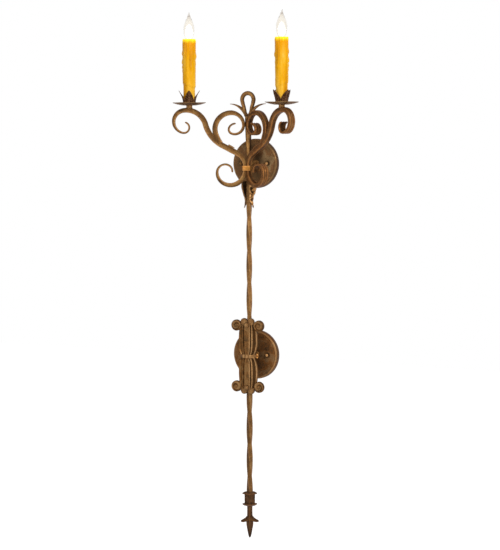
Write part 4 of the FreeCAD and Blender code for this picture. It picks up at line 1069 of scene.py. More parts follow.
    def band_ring(self, grow: float) -> Array:
        """Corners of the ring round both arms and the bar.

        Args:
            grow: how far outside them it runs.

        Returns:
            Six points of x and y.
        """
        arm = self.arm
        sin, cos = math.sin(math.radians(arm.tilt)), math.cos(math.radians(arm.tilt))
        outer = arm.offset + arm.thickness * arm.root[0] / 2
        half = arm.width * arm.root[1] / 2
        near = (outer * cos - half * sin + grow, -arm.joint - outer * sin - half * cos - grow)
        far = (outer * cos + half * sin + grow, -arm.joint - outer * sin + half * cos + grow / 2)
        rear = (5.2 + grow, -BACK + 5.2 + grow)
        right = [near, far, rear]
        return np.array(right + [(-x, y) for x, y in reversed(right)])

    def build_band(self) -> None:
        """Gold-coloured collar, a strip with pillowed faces hammered round the joint."""
        ring = round_polygon(self.band_ring(0.15), 2.2, 6)
        normal = ring_normals(ring)
        normal *= np.sign(((ring - ring.mean(axis=0)) * normal).sum(axis=1))[:, None]
        radial, up = box_section(0.2, self.collar_thickness, self.collar_half)
        outside = radial > 1.0
        pillow = 0.35 * np.clip(1 - (up / 5.2) ** 2, 0, 1) * outside
        offset = radial - 0.35 + pillow
        flat = ring[:, None, :] + normal[:, None, :] * offset[..., None]
        grid = points(flat[..., 0], flat[..., 1], self.collar_middle + up)
        grid[..., :2] += normal[:, None, :] * (unevenness(grid, 9.0, 33) * 0.12 * outside)[..., None]
        # painted shade on the ring's right side face; the rubbed top and bottom edges are wear
        turned = ramp(ring[:, 0], 9.4, 10.2)[:, None]
        shell = Shell(grid, True, rub=(np.abs(up) > 5.2) * outside * (1 - turned), soot=0.95 * turned)
        shell.finish("joint_collar", "collar_band", self.finishes.gold, "rubbed_brass")


@dataclass
class LeafWrap:
    """One of two cupped leaves that clasp the bar under the arms and flare at their tips.

    Its face is embossed with lumps: |sin|^0.7 and |sin|^0.5 of two slanting waves, multiplied.
    """

    finishes: Finishes
    side: Side
    wall: float = 1.5
    # height, radius and half width of the leaf, in mm
    table: tuple = ((-45.0, 19.0, 14.0), (-57.0, 20.4, 17.4), (-66.0, 18.9, 16.2), (-78.0, 15.6, 13.0),
                    (-92.0, 11.6, 10.2), (-102.5, 11.9, 5.6), (-113.0, 14.6, 0.5))

    def build(self) -> None:
        """Make the leaf: nearly smooth on the left, deeply embossed with strong painted highlights on the
        right.
        """
        right = self.side is Side.RIGHT
        # the right leaf's painted highlights are the stronger
        emboss, painted_light = (2.6, 1.3) if right else (0.6, 0.3)
        up = np.linspace(self.table[0][0], self.table[-1][0], 90)
        radius, half = smooth_rows(self.table, up)
        up, radius, half = up[:, None], radius[:, None], np.maximum(half, 0.35)[:, None]
        across, back, lip = leaf_columns(49)
        angle = np.arcsin(np.clip(half / radius, 0, 0.86)) * across
        r = radius - self.wall * (back * (1 - lip) + 0.5 * lip)
        slant = across * half * 1.1
        place = points(r * np.cos(angle), r * np.sin(angle), up)
        drift = 0.3 * unevenness(place, 14.0, 27 + self.side.value)
        one = np.abs(np.sin(np.pi * ((up + slant) / 15.5 + drift)))
        two = np.abs(np.sin(np.pi * ((up - slant) / 20.5 - drift + 0.3)))
        dent = emboss * (1 - one ** 0.7 * two ** 0.5) * (1 - 0.5 * lip)
        r = r - dent
        grid = points(self.side.value * r * np.cos(angle), -BACK + r * np.sin(angle), up)
        high = 1 - dent / emboss
        front = back < 0.5
        # painted highlight on the front's lumps, painted shade in its dents and over the inner face; rim rub
        # is wear
        shell = Shell(grid, rub=1.1 * lip + painted_light * high ** 2.5 * front,
                      soot=np.where(front, np.clip(1.5 - 2.2 * high, 0, 1), 1.0) * (1 - 0.6 * lip))
        # the right leaf takes the brighter finish as painted light
        material = self.finishes.leaf if right else self.finishes.iron
        shell.finish(*self.side.names("clasp_leaf", "wrap_leaf"), material)


@dataclass
class TwistedBar:
    """Square bar, straight in the collar and twisted left-handed down to the finial."""

    finishes: Finishes
    side: float = 10.4
    top: float = 3.0
    # depths below the origin where the twist starts and ends, and the length of a quarter turn
    start: float = 112.8
    end: float = 846.0
    quarter: float = 83.4

    def turn(self, drop: Array | float) -> Array | float:
        """Turn of the square in radians at a depth below the origin."""
        return np.maximum(0.0, drop - self.start) * (math.pi / 2) / self.quarter

    def square_rows(self, drops: Array, half: Array, corner: float, turns: Array | float, columns: int = 7,
                    hollow: float = 0.0) -> tuple[Array, Array]:
        """Rounded squares about the bar's axis.

        Args:
            drops: depth of each row below the origin.
            half: half side of each row.
            corner: corner radius.
            turns: turn of each row in radians.
            columns: points along each flat.
            hollow: how far the middle of each flat sinks in.

        Returns:
            The grid and the rub of each point.
        """
        x, y, rub = bar_section(half, half, corner, 5, columns)
        near = np.minimum(np.abs(x), np.abs(y)) / half[:, None]
        sink = hollow * np.clip(1 - near ** 2 * 1.3, 0, 1)
        kept = 1 - sink / np.maximum(np.abs(x), np.abs(y))
        x, y = x * kept, y * kept
        cos, sin = np.cos(turns), np.sin(turns)
        return points(x * cos - y * sin, -BACK + x * sin + y * cos, -drops[:, None]), rub

    def away(self, grid: Array, least: float = 1e-6) -> Array:
        """Level directions from the bar's axis to the points."""
        return away(grid, grid * (0, 0, 1) - (0, BACK, 0), least)

    def build(self) -> None:
        """Make the bar; its faces are a little hollow from the twisting."""
        drops = np.concatenate([np.linspace(-self.top, self.start, 40)[:-1],
                                np.linspace(self.start, self.end, 620), [self.end + 15]])
        # below the cartouche the bar is thicker and darker
        low = ramp(drops, 560, 620)
        half = self.side / 2 + 0.2 * ramp(drops, 60, 90) + 0.45 * low
        turns = self.turn(np.minimum(drops, self.end))[:, None]
        grid, rub = self.square_rows(drops, half, 0.5, turns, 7, 0.1)
        outward = self.away(grid)
        grid = grid + outward * (dents(grid, 18.0, 91, high=0.4) * 0.06)[..., None]
        # painted shade on the faces that turn to the left; the corners' rub is wear and painted highlight
        left = np.clip(-(outward[..., 0] * 0.89 + outward[..., 1] * 0.45), 0, 1)
        low = low[:, None]
        soot = np.clip(0.9 * left ** 0.8 + 0.36 * low, 0, 1)
        shell = Shell(grid, rub=(0.3 + 0.5 * rub) * (1 - 0.35 * low), soot=soot)
        shell.finish("twisted_upright", "twisted_bar", self.finishes.iron)


@dataclass
class Finial:
    """Square collar at the bar's foot, spear point and its two barbs."""

    finishes: Finishes
    bar: TwistedBar
    shoulder: float = 907.0
    # depth below the bar's end and half side of the collar, in mm
    collar_table: tuple = ((0.0, 8.6), (0.05, 9.8), (0.5, 10.3), (2.9, 13.2), (3.3, 13.85), (6.0, 13.85),
                           (6.4, 13.2), (6.6, 10.3), (8.0, 9.95), (29.0, 9.95), (30.4, 10.3), (30.6, 13.2),
                           (31.0, 13.85), (33.7, 13.85), (34.1, 13.2), (36.5, 10.3), (36.95, 9.8),
                           (37.0, 8.6))
    # depth below the shoulder and half side of the spear, in mm; its root is inside the collar
    spear_root: float = -38.0
    shaft_top: float = -24.0
    spear_table: tuple = ((-24.0, 5.2), (-8.0, 5.15), (0.0, 5.3), (9.0, 6.1), (18.0, 6.75), (27.0, 6.4),
                          (37.0, 5.15), (47.0, 3.85), (54.0, 2.7), (58.5, 1.5), (60.0, 0.6))
    # a barb starts on the axis below the shoulder, falls at an angle and turns back up by another
    barb_drop: float = 4.4
    barb_fall: float = 48.0
    barb_turn: float = 42.0
    barb_radius: float = 37.0
    # along a barb: place, thickness and width, each as a share
    barb_table: tuple = ((0.0, 1.4, 2.0), (0.25, 1.22, 1.9), (0.5, 0.96, 1.3), (0.78, 0.76, 1.0),
                         (1.0, 0.42, 0.6))

    def __post_init__(self) -> None:
        """Take the square's turn at the bar's end."""
        self.turn = float(self.bar.turn(self.bar.end))

    def build(self) -> None:
        """Make the collar, the spear and the barbs."""
        self.build_collar()
        self.build_spear()
        for side in Side:
            self.build_barb(side)

    def build_collar(self) -> None:
        """Square block with a stepped bead at each end; rows stand at most 0.5 mm apart."""
        rows = np.array(self.collar_table)
        counts = np.maximum(np.ceil(np.diff(rows[:, 0]) / 0.5).astype(int), 1)
        start = np.repeat(np.arange(len(counts)), counts)
        inside = np.arange(counts.sum()) - np.repeat(np.cumsum(counts) - counts, counts)
        share = (inside / counts[start])[:, None]
        rows = np.concatenate([rows[start] * (1 - share) + rows[start + 1] * share, rows[-1:]])
        grid, rub = self.bar.square_rows(self.bar.end + rows[:, 0], rows[:, 1], 1.0, self.turn, 9)
        grid = grid + self.bar.away(grid) * (dents(grid, 8.0, 60) * 0.22)[..., None]
        wide = ramp(rows[:, 1], 13.0, 13.8)[:, None]
        shell = Shell(grid, rub=rub * 0.15 + wide * 0.3)
        shell.finish("square_collar", "finial_collar", self.finishes.finial, crease=30.0)

    def build_spear(self) -> None:
        """Shaft that swells into a four-sided blade and ends in a point."""
        drops = np.linspace(self.spear_root, self.spear_table[-1][0], 150)
        [half] = smooth_rows(self.spear_table, drops)
        half = np.where(drops < self.shaft_top, self.spear_table[0][1], half)
        grid, rub = self.bar.square_rows(self.shoulder + drops, half, 0.7, self.turn)
        grid = grid + self.bar.away(grid, 0.5) * (dents(grid, 9.0, 77) * 0.12)[..., None]
        tip = ramp(drops, 20.0, 50.0)[:, None]
        shell = Shell(grid, rub=0.55 * rub * (1 - tip), soot=0.9 * tip)
        shell.finish("spear", "spear_point", self.finishes.finial)

    def build_barb(self, side: Side) -> None:
        """Barb that droops from a corner of the shaft and curls level at its tip.

        Args:
            side: which of the two.
        """
        corner = (math.degrees(self.turn) + 45.0) % 90.0
        plane = Placement2D((0.0, -BACK, 0.0), corner if side is Side.RIGHT else corner + 180)
        root = (0.0, -self.shoulder - self.barb_drop)
        line = arc_chain(root, -self.barb_fall, [(self.barb_radius, self.barb_turn)], 0.6)
        strip = Strip(9.8, 8.6, corner=2.4, end_round=2.6, dent=0.1, wear_and_highlight=0.4)
        shell = strip.shell(plane, line, self.barb_table, 80 + side.value)
        shell.finish(*side.names("spur", "barb"), self.finishes.finial)


@dataclass
class Cartouche:
    """Cast fluted plate with a volute at each corner, lobes and a bud at both ends."""

    finishes: Finishes
    middle: float = Level.LOWER.value
    plane_y: float = -53.6
    crown: float = 5.8
    thickness: float = 3.6
    half_height: float = 89.0
    half_width: float = 28.25
    # place across as a share of the half width, and lift of the front in mm
    flutes: tuple = ((0.0, 4.6), (0.1, 4.9), (0.2, 5.2), (0.27, 5.1), (0.31, 1.4), (0.35, 0.2), (0.4, 0.6),
                     (0.44, 3.9), (0.5, 4.5), (0.545, 3.9), (0.58, 0.5), (0.64, 0.0), (0.72, 0.5),
                     (0.82, 1.9), (0.9, 3.6), (0.95, 5.0), (0.985, 4.2), (1.0, 2.0))
    # distance from the middle and half width, in mm
    outline: tuple = ((0, 18.2), (5, 19.4), (12.6, 22.4), (25, 25.2), (38, 26.1), (52, 25.8), (66, 24.4),
                      (78, 21.5), (86, 17.4), (90, 14.5))
    # volute: radius, distance between its turns, height of its ground and height of its ridge
    volute: tuple = (14.3, 10.8, 4.6, 3.0)
    # radius and rise of a volute's eye
    eye: tuple = (4.6, 2.6)
    # places of a volute, a lobe and a bud from the middle, and radius, base and rise of the last two
    volute_place: tuple = (32.0, 78.8)
    lobe_place: tuple = (9.6, 88.2)
    lobe: tuple = (9.7, 4.5, 1.6)
    bud_place: tuple = (0.0, 80.5)
    bud: tuple = (6.9, 9.9, 3.2)

    def build(self) -> None:
        """Make the plate with everything cast on it."""
        self.shell = Shell()
        self.add_plate()
        for up in Side:
            for out in Side:
                way = np.array([out.value, up.value])
                self.add_volute(way * self.volute_place, out.value * up.value)
                self.add_dome(way * self.lobe_place, self.lobe)
            self.add_dome(way * self.bud_place, self.bud, 0.6)
        self.shell.finish("cast_cartouche", "cartouche", self.finishes.cast, crease=50.0)

    def add_plate(self) -> None:
        """Fluted plate, curved back at its sides; the middle rib flares out at both ends.

        Its back is crown (x / half_width)^2 behind the plane, and its front stands before that by
        the thickness and the lift of the flutes.
        """
        z = np.linspace(-self.half_height, self.half_height, 150)[:, None]
        share = np.linspace(-1, 1, 161)[None, :]
        across = np.abs(share)
        end = ramp(np.abs(z), 48.0, 88.0)
        # near the ends the pattern is read nearer to the middle, which widens the middle rib
        lift = np.interp(across * (1 - 0.42 * end ** 1.5 * (1 - across)), *np.array(self.flutes).T)
        [half] = smooth_rows(self.outline, np.abs(z[:, 0]))
        x = share * half[:, None]
        back = self.crown * (x / self.half_width) ** 2
        edge = ramp(across, 0.95, 1.0) ** 2
        front = (back - self.thickness - lift) * (1 - edge) + (back - 1.5) * edge
        front = front + np.clip(0.5 - unevenness(points(x, front, z), 6.0, 41), 0, 2) * 0.14
        reach = ramp(np.abs(z), 90.0, 84.0)
        front = back + (front - back) * np.sqrt(np.clip(reach, 0.05, 1))
        columns = np.concatenate([x, x[:, ::-1]], axis=1)
        depth = np.concatenate([front, np.maximum(back, front + 0.5)[:, ::-1]], axis=1)
        grid = points(columns, self.plane_y + depth, self.middle + z)
        # painted highlight sits where a rib falls away on the right half and along the right rim,
        # with a little wear on the crests
        fall = -np.gradient(lift, axis=1) / np.gradient(share, axis=1)
        falling = np.clip(fall / 18, 0, 1) * (share > 0.15) * (share < 0.9) * ramp(lift, 1.2, 2.4)
        rim = np.exp(-((share - 0.962) / 0.014) ** 2)
        wear_and_highlight = (1.3 * falling + 1.6 * rim) * (1 - 0.6 * end) + 0.08 * np.clip(lift / 5.0, 0, 1) ** 4
        # grooves darker: patina, kept strong on the right half as painted shade; the back painted dark
        hollow = np.clip(1.0 - lift / 3.0, 0, 1) * np.where(share > 0, 1.0, 0.15)
        self.shell.add(grid, rub=np.concatenate([wear_and_highlight, wear_and_highlight * 0], axis=1),
                       soot=np.concatenate([hollow, np.ones_like(hollow)], axis=1))

    def add_boss(self, place: Array, r: Array, high: Array, turn: Array, **marks: Array) -> None:
        """Add a round boss.

        Args:
            place: its middle across and along the plate.
            r: distance of each row from the middle.
            high: height in front of the plate's plane.
            turn: angles round the middle.
            marks: its point values.
        """
        x, z = place
        grid = points(x + r * np.cos(turn), self.plane_y - high, self.middle + z + r * np.sin(turn))
        self.shell.add(grid, **marks)

    def add_volute(self, place: Array, hand: int) -> None:
        """Round boss whose face carries a raised spiral that winds in to an eye.

        The spiral's height goes as the cosine of 2 pi (distance / pitch - angle / 2 pi).

        Args:
            place: its middle across and along the plate.
            hand: which way the spiral winds, 1 or -1.
        """
        radius, pitch, ground, ridge = self.volute
        eye_radius, eye_rise = self.eye
        turn = full_turn(96)
        distance = np.linspace(0.02, 1.0, 54)[:, None] * radius
        wave = 0.5 + 0.5 * np.cos(CIRCLE * (distance / pitch) - hand * (turn - np.pi / 2))
        eye = np.sqrt(np.clip(1 - (distance / eye_radius) ** 2, 0, 1))
        fall = ramp(distance / radius, 0.86, 1.0)
        ring = wave ** 0.45 * ramp(distance, 3.6, 5.1)
        lift = ground + ridge * ring * (1 - fall) + eye_rise * eye - 0.6 * fall ** 2
        side = np.linspace(3.8, -1.4, 9)[:, None]
        foot = np.linspace(radius * 0.9, 0.05, 5)[:, None]
        r = np.concatenate([distance, radius - 0.06 * np.clip(side, 0, 9), foot])
        level = np.concatenate([side, foot * 0 - 1.5])
        high = np.concatenate([lift, level + turn * 0])
        height = np.clip((lift - ground) / ridge, 0, 1)
        flat = np.zeros((len(level), turn.size))
        rub = np.concatenate([0.45 * height ** 3, flat])
        soot = np.concatenate([np.clip(1.0 - 2.6 * height, 0, 1), flat + 0.5])
        self.add_boss(place, r, high, turn, rub=rub, soot=soot)

    def add_dome(self, place: Array, size: tuple[float, float, float], bright: float = 0.4) -> None:
        """Domed boss: a straight side up to a base height, then part of an ellipse.

        Args:
            place: its middle across and along the plate.
            size: its radius, base height and rise.
            bright: wear of its top.
        """
        radius, base, rise = size
        t = np.linspace(0.02, 1.0, 26)[:, None]
        groove = 0.3 * np.exp(-((t - 0.62) / 0.08) ** 2)
        top = base + rise * (np.sqrt(np.clip(1 - t ** 2, 0, 1)) - groove)
        side = np.linspace(base - 0.4, 0.1, 6)[:, None]
        foot = np.zeros((2, 1))
        r = np.concatenate([t * radius, side * 0 + radius, [[radius * 0.5], [0.05]]])
        rub = np.concatenate([bright * (1 - t) + 0.1, side * 0, foot])
        soot = np.concatenate([np.clip((t - 0.74) * 4, 0, 1), side * 0 + 0.95, foot + 0.95])
        self.add_boss(place, r, np.concatenate([top, side, foot]), full_turn(64), rub=rub, soot=soot)


@dataclass
class WaistBand:
    """Strap round the cartouche's waist and the bar, hammered down over the ribs."""

    finishes: Finishes
    middle: float = Level.LOWER.value
    half_height: float = 4.6
    thickness: float = 1.9
    # half the length of its front, the distance between the ribs there and how far it bulges over them
    front_half: float = 12.0
    rib_pitch: float = 9.0
    bulge: float = 1.9
    front_y: float = -62.6
    rear_y: float = -36.9
    # places across and depths of the strap's right side, from the front to the back
    side_x: tuple = (14.6, 17.6, 19.4, 20.2, 20.6, 19.4, 16.0, 13.4)
    side_y: tuple = (-61.6, -59.6, -57.0, -53.0, -47.5, -42.8, -39.2, -37.6)
    rivet_radius: float = 3.0
    # place of a rivet, with its height above or below the middle
    rivet_place: tuple = (21.6, -45.5, 3.4)

    def build(self) -> None:
        """Make the strap as one endless strip whose front bulges over each rib, and its rivets."""
        front = np.linspace(-self.front_half, self.front_half, 53)
        knots = 0.5 + 0.5 * np.cos(CIRCLE * np.clip(np.abs(front) / self.rib_pitch, 0, 1.45))
        side_x, side_y = np.array(self.side_x), np.array(self.side_y)
        bulged = self.front_y - 0.25 - self.bulge * knots ** 0.7
        ring = points(np.concatenate([front, side_x, [0.0], -side_x[::-1]]),
                      np.concatenate([bulged, side_y, [self.rear_y], side_y[::-1]]))
        ring = refine_line(np.concatenate([ring, ring[:1]]), 1.0)[:-1]
        depth, up = box_section(-self.thickness, 0.0, self.half_height)
        swell = 0.25 * np.clip(1 - (up / 4.5) ** 2, 0, 1) * (depth > -0.5)
        flat = ring[:, None, :] + ring_normals(ring)[:, None, :] * (depth + swell - 0.2)[..., None]
        grid = points(flat[..., 0], flat[..., 1], self.middle + up)
        # painted highlight on the bulges over the ribs, cut to a tenth left of x = -11 mm as painted shade
        high = np.clip((self.front_y - 0.3 - ring[:, 1]) / self.bulge, 0, 1)[:, None]
        lit_share = np.where(ring[:, 0] > -11.0, 1.0, 0.1)[:, None]
        shell = Shell(grid, True, rub=(0.25 + 0.7 * high) * lit_share * (depth > -0.9))
        shell.finish("waist_strap", "waist_band", self.finishes.cast)
        r = self.rivet_radius
        ball = [(r * math.sin(a), r * math.cos(a)) for a in np.linspace(np.pi, 0, 13)]
        rivets = Shell()
        for side in Side:
            x, y, off = self.rivet_place
            centre = (x, y, self.middle + side.value * off)
            rivets.add(lathe_grid(centre, ball, 24, rounds=3), rub=0.9)
        rivets.finish("strap_rivets", "", self.finishes.gold)


@dataclass
class WallMount:
    """One canopy with its lobed foot, standoff and ball nuts."""

    finishes: Finishes
    level: Level
    reach: float
    radius: float = 63.5
    depth: float = 15.0
    wall: float = 1.4
    nut_offset: float = 36.5
    nut_radius: float = 4.6
    # height of a nut's ball above the dish and of its crown above that
    nut_middle: float = 4.0
    nut_crown: float = 4.4
    foot_half_x: float = 12.45
    foot_half_z: float = 8.95

    def __post_init__(self) -> None:
        """Place it on the wall; the lower dish is rustier, and the upper one's painted shadow is offset."""
        self.centre = (0.0, 0.0, self.level.value)
        # painted highlight line, darker rolled side, and place and size of the painted shadow
        if self.level is Level.UPPER:
            self.material, self.rim, self.side_soot = self.finishes.sheet, 0.5, 0.85
            self.shade = (6.0, 12.0, 30.0)
        else:
            self.material, self.rim, self.side_soot = self.finishes.rusty, 1.0, 0.6
            self.shade = (0.0, 0.0, 50.0)

    def build(self) -> None:
        """Make the dish, foot, standoff and nuts."""
        self.build_dish()
        self.build_foot()
        rod = lathe_grid(self.centre, [(0, 7.5), (4.3, 7.5), (4.5, 7.9), (4.5, self.reach - 0.3),
                                       (4.2, self.reach), (0, self.reach)], 40, "y")
        Shell(rod, rub=0.1).finish(*self.level.names("stay", "standoff"), self.finishes.iron)
        for side in Side:
            self.build_nut(side)

    def build_dish(self) -> None:
        """Spun dish with a rolled edge; painted shadow lies round the nuts and where the bar shades it,
        and a painted highlight runs inside the edge.
        """
        r, d, wall = self.radius, self.depth, self.wall
        profile = [(0.0, d), (18.0, d), (r - 9.5, d - 0.25), (r - 7.6, d - 0.9), (r - 6.2, d - 0.35),
                   (r - 3.2, d - 0.8), (r - 0.9, d - 2.6), (r, d - 5.5), (r, 0.3), (r - 0.4, 0.0),
                   (r - 1.2, 0.0), (r - 1.2, d - 4.5), (r - 4.5, d - wall), (0.0, d - wall)]
        grid = lathe_grid(self.centre, refine_line(profile, 1.5), 160, "y")
        x, up = grid[..., 0], grid[..., 2] - self.level.value
        out = np.hypot(x, up)
        face = grid[..., 1] < -(d - 5)
        grid[..., 1] -= np.where(face & (out < r - 8), dents(grid, 22.0, 15, -1.3, 0.5) * 0.22, 0)
        # painted highlight: a thin bright line inside the edge
        rim = self.rim * np.exp(-((out - (r - 3.6)) / 1.5) ** 2) * face
        # painted shadow of the bar and arms, and a ring of painted shadow round each nut
        aside, lift, tall = self.shade
        shade = np.exp(-((x - aside) / 17.0) ** 2 - ((up - lift) / tall) ** 2)
        beside = np.hypot(np.abs(x) - self.nut_offset, up)
        soot = 0.9 * np.exp(-((beside - 4.5) / 2.6) ** 2) + 0.95 * shade
        # the rolled side is painted darker
        flank = self.side_soot * ramp(out, r - 1.6, r - 0.7)
        shell = Shell(grid, rub=np.clip(rim, 0, 1), soot=np.maximum(np.clip(soot, 0, 1) * face, flank))
        shell.finish(*self.level.names("wall_dish", "canopy"), self.material, SHEET)

    def build_foot(self) -> None:
        """Small pillowed plate whose outline has four lobes: 1 - 0.17 ((1 + cos 4t) / 2)^1.5."""
        turn = full_turn(96)
        outline = 1.0 - 0.17 * (0.5 + 0.5 * np.cos(4 * turn)) ** 1.5
        x = np.clip(12.3 * np.cos(turn) * outline ** 1.2 / 0.87, -self.foot_half_x, self.foot_half_x)
        z = np.clip(8.9 * np.sin(turn) * outline / 0.9, -self.foot_half_z, self.foot_half_z)
        # share of the outline and distance from the wall of each row
        rows = np.array(((0.02, 17.9), (0.2, 17.9), (0.4, 17.85), (0.6, 17.75), (0.75, 17.6), (0.86, 17.35),
                         (0.94, 16.95), (0.985, 16.5), (1.0, 16.0), (1.0, 15.5), (1.0, 15.02), (0.5, 15.01),
                         (0.02, 15.0)))
        share = rows[:, :1]
        shell = Shell(points(share * x, -rows[:, 1:], share * z + self.level.value), rub=0.1, soot=0.6)
        shell.finish(*self.level.names("lobed_plate", "foot"), self.finishes.leaf, crease=45.0)

    def build_nut(self, side: Side) -> None:
        """Round cap nut on a short neck, with a painted highlight on its crown and painted shade below.

        Args:
            side: which of the two.
        """
        angles = np.linspace(-0.78, np.pi / 2, 24)
        ball = [(self.nut_radius * math.cos(a), self.nut_middle + self.nut_crown * math.sin(a))
                for a in angles]
        centre = (side.value * self.nut_offset, -self.depth, self.level.value)
        grid = lathe_grid(centre, [(0.0, 0.1), (3.2, 0.1), (3.25, 0.8)] + ball, 48, "y")
        crown = ramp(-grid[..., 1], 19.5, 23.0)
        # painted highlight on the crown, much weaker on the left nut, and painted shade below it
        shell = Shell(grid, rub=(1.6 if side is Side.RIGHT else 0.2) * crown, soot=1 - crown)
        name, node, body = self.level.names(*side.names("cap_nut", "ball_nut", "nut"))
        shell.finish(name, node, self.finishes.iron, "rubbed_brass", body)


@dataclass
class Candle:
    """One candle: neck, drip pan, petal cup, resin sleeve and lamp."""

    finishes: Finishes
    side: Side
    x: float = 130.69
    y: float = -123.19
    base: float = 142.0
    tilt: float = 27.0
    pan_foot: float = 6.25
    cup_foot: float = 7.6
    petal_height: float = 36.0
    # height up the petal, radius from the axis and half width, in mm
    petal_table: tuple = ((0.0, 16.2, 9.6), (4.0, 16.25, 10.6), (9.0, 16.5, 11.6), (14.0, 17.4, 12.0),
                          (19.0, 18.8, 11.2), (24.0, 20.8, 9.2), (29.0, 23.2, 6.3), (33.5, 25.6, 3.0),
                          (36.0, 27.0, 0.35))
    sleeve_foot: float = 8.75
    sleeve_height: float = 165.0
    bore: float = 13.25
    skin: float = 14.75
    drips: int = 13
    sleeve_seed: int = 5
    # wax beads on the sleeve: place round it in degrees, height, length and how proud, in mm
    beads: tuple = ((-153.0, 127.0, 4.0, 2.0), (-150.0, 105.0, 4.0, 2.5), (-156.0, 93.0, 3.4, 2.0),
                    (27.0, 120.0, 4.5, 2.2), (22.0, 100.0, 3.0, 0.7), (-80.0, 118.0, 4.0, 0.8),
                    (-40.0, 92.0, 4.0, 0.8), (120.0, 110.0, 4.0, 1.2), (170.0, 84.0, 4.0, 1.0))
    lamp_foot: float = 153.75
    # heights up the lamp between which the bloom shows, and where the bore ends in the solid tip
    bloom_foot: float = 3.0
    bloom_top: float = 57.0
    bore_top: float = 77.0
    # height up the lamp and radius, in mm
    lamp_table: tuple = ((0.0, 5.15), (8.0, 5.15), (15.9, 5.25), (21.0, 8.4), (28.0, 11.5), (36.0, 13.4),
                         (45.1, 13.95), (53.0, 13.0), (61.0, 10.6), (69.0, 7.2), (76.0, 4.2), (82.0, 2.0),
                         (86.0, 0.8), (86.9, 0.02))

    def __post_init__(self) -> None:
        """Place it over the arm's crest; the right sleeve is turned half round, its lamp leans more."""
        right = self.side is Side.RIGHT
        self.axis = (self.side.value * self.x, self.y, self.base)
        self.petal_turn = -math.radians(self.tilt) if right else math.radians(self.tilt)
        self.sleeve_turn = np.pi if right else 0.0
        self.tip_lean = 1.6 if right else 0.32

    def build(self) -> None:
        """Make every piece of the stack that shows."""
        profile = [(0, -1.6), (6.8, -1.6), (8.0, -1.0), (8.25, 0.4), (7.3, 2.8), (7.9, 5.3), (8.25, 6.0),
                   (7.9, 6.2), (0, 6.2)]
        neck = lathe_grid(self.axis, profile, 56, rounds=3)
        Shell(neck, rub=0.9).finish(*self.side.names("spacer", "neck"), self.finishes.iron)
        self.build_pan()
        self.build_petals()
        self.build_sleeve()
        self.build_lamp()

    def build_pan(self) -> None:
        """Shallow spun dish with a thin rim, a little out of true as a hand-beaten one is."""
        low = self.pan_foot
        profile = [(0, low), (17.5, low), (30.0, low + 2.4), (41.7, low + 6.2), (42.4, low + 6.9),
                   (42.35, low + 7.6), (41.6, low + 7.85), (30.0, low + 3.8), (18.0, low + 1.3),
                   (0, low + 1.3)]
        grid = lathe_grid(self.axis, refine_line(profile, 1.2), 128)
        out = np.hypot(grid[..., 0] - self.axis[0], grid[..., 1] - self.axis[1])
        grid[..., 2] -= ramp(out, 20, 42) * (0.25 + 0.25 * unevenness(grid, 45.0, 3 + self.side.value))
        shell = Shell(grid, rub=ramp(out, 41.0, 42.2) * 0.5, soot=0.3)
        shell.finish(*self.side.names("dish", "drip_pan"), self.finishes.sheet, SHEET)

    def build_petals(self) -> None:
        """Four pressed petals on a flat base; each is a curved leaf with a midrib and veins.

        The veins go as the cosine of 40 times the share of the height less 9 times that of the
        width, which slants them down to the midrib.
        """
        low, tall = self.cup_foot, self.petal_height
        profile = [(0, low), (15.6, low), (16.1, low + 0.4), (15.9, low + 3.0), (15.2, low + 3.0),
                   (15.0, low + 1.15), (0, low + 1.15)]
        shell = Shell(lathe_grid(self.axis, profile, 72), rub=0.0)
        up = np.linspace(0, tall, 70)
        radius, half = (column[:, None] for column in smooth_rows(self.petal_table, up))
        rise = up[:, None] / tall
        across, back, lip = leaf_columns(41)
        width = np.abs(across)
        angle = np.arcsin(np.clip(half / radius, 0, 0.9)) * across
        slanted = 0.5 + 0.5 * np.cos(rise * 40 - width * 9)
        vein = np.exp(-(across / 0.1) ** 2) + 0.7 * slanted * (width < 0.88)
        depth = back * (1 - lip) + 0.5 * lip + 0.4 * (1 - np.clip(vein, 0, 1)) * (1 - lip)
        r = radius - depth - 1.2 * lip * np.sin(np.pi * rise)
        rub = np.clip(lip * 0.7 + 0.85 * (vein > 0.8) * (1 - back), 0, 1)
        for quarter in range(4):
            turn = angle + quarter * np.pi / 2 + self.petal_turn
            grid = points(self.axis[0] + r * np.cos(turn), self.axis[1] + r * np.sin(turn),
                          self.base + low + 0.1 + up[:, None])
            grid[..., 2] -= np.clip(unevenness(grid, 5.0, 100 + quarter), -1, 0.4) * 0.15
            shell.add(grid, rub=rub)
        shell.finish(*self.side.names("petals", "petal_cup"), self.finishes.petal, SHEET, crease=50.0)

    def build_sleeve(self) -> None:
        """Resin sleeve with wax drips, thinner under its last drip, and a fluted top edge.

        The glow mark, the lamp's light painted on, grows slowly over the last 55 mm below the rim,
        up to 10 mm below it, and fast over the last 15 mm.
        """
        tall = self.sleeve_height
        turn = full_turn(180).T
        own = turn + self.sleeve_turn
        low, high = np.linspace(0.4, tall - 8.0, 190), np.linspace(tall - 7.5, tall - 1.0, 14)
        up = np.concatenate([low, high])[None, :]
        step = 45.0 + 5.5 * np.cos(own + 2.67) + 1.2 * np.sin(5 * own)
        skin = self.skin + 1.8 * ramp(up, step, step + 5.0) ** 0.7
        top = ramp(up, tall - 6, tall - 2)
        flute = 0.5 * np.cos(11 * own + 0.4) * ramp(up, tall - 16, tall - 8)
        free = ramp(up, 12.0, 52.0)
        place = points(14 * np.cos(own), 14 * np.sin(own), up * 0.5)
        lump = 0.16 * free * unevenness(place, 9.0, self.sleeve_seed)
        wax = self.wax(own, up) * (1 - top * 0.6)
        r = np.minimum(skin + wax + lump + flute, 18.8) - 0.3 * top
        edge = tall - 0.15 + 0.15 * np.cos(9 * turn + 0.4)
        last = r[:, -1:]
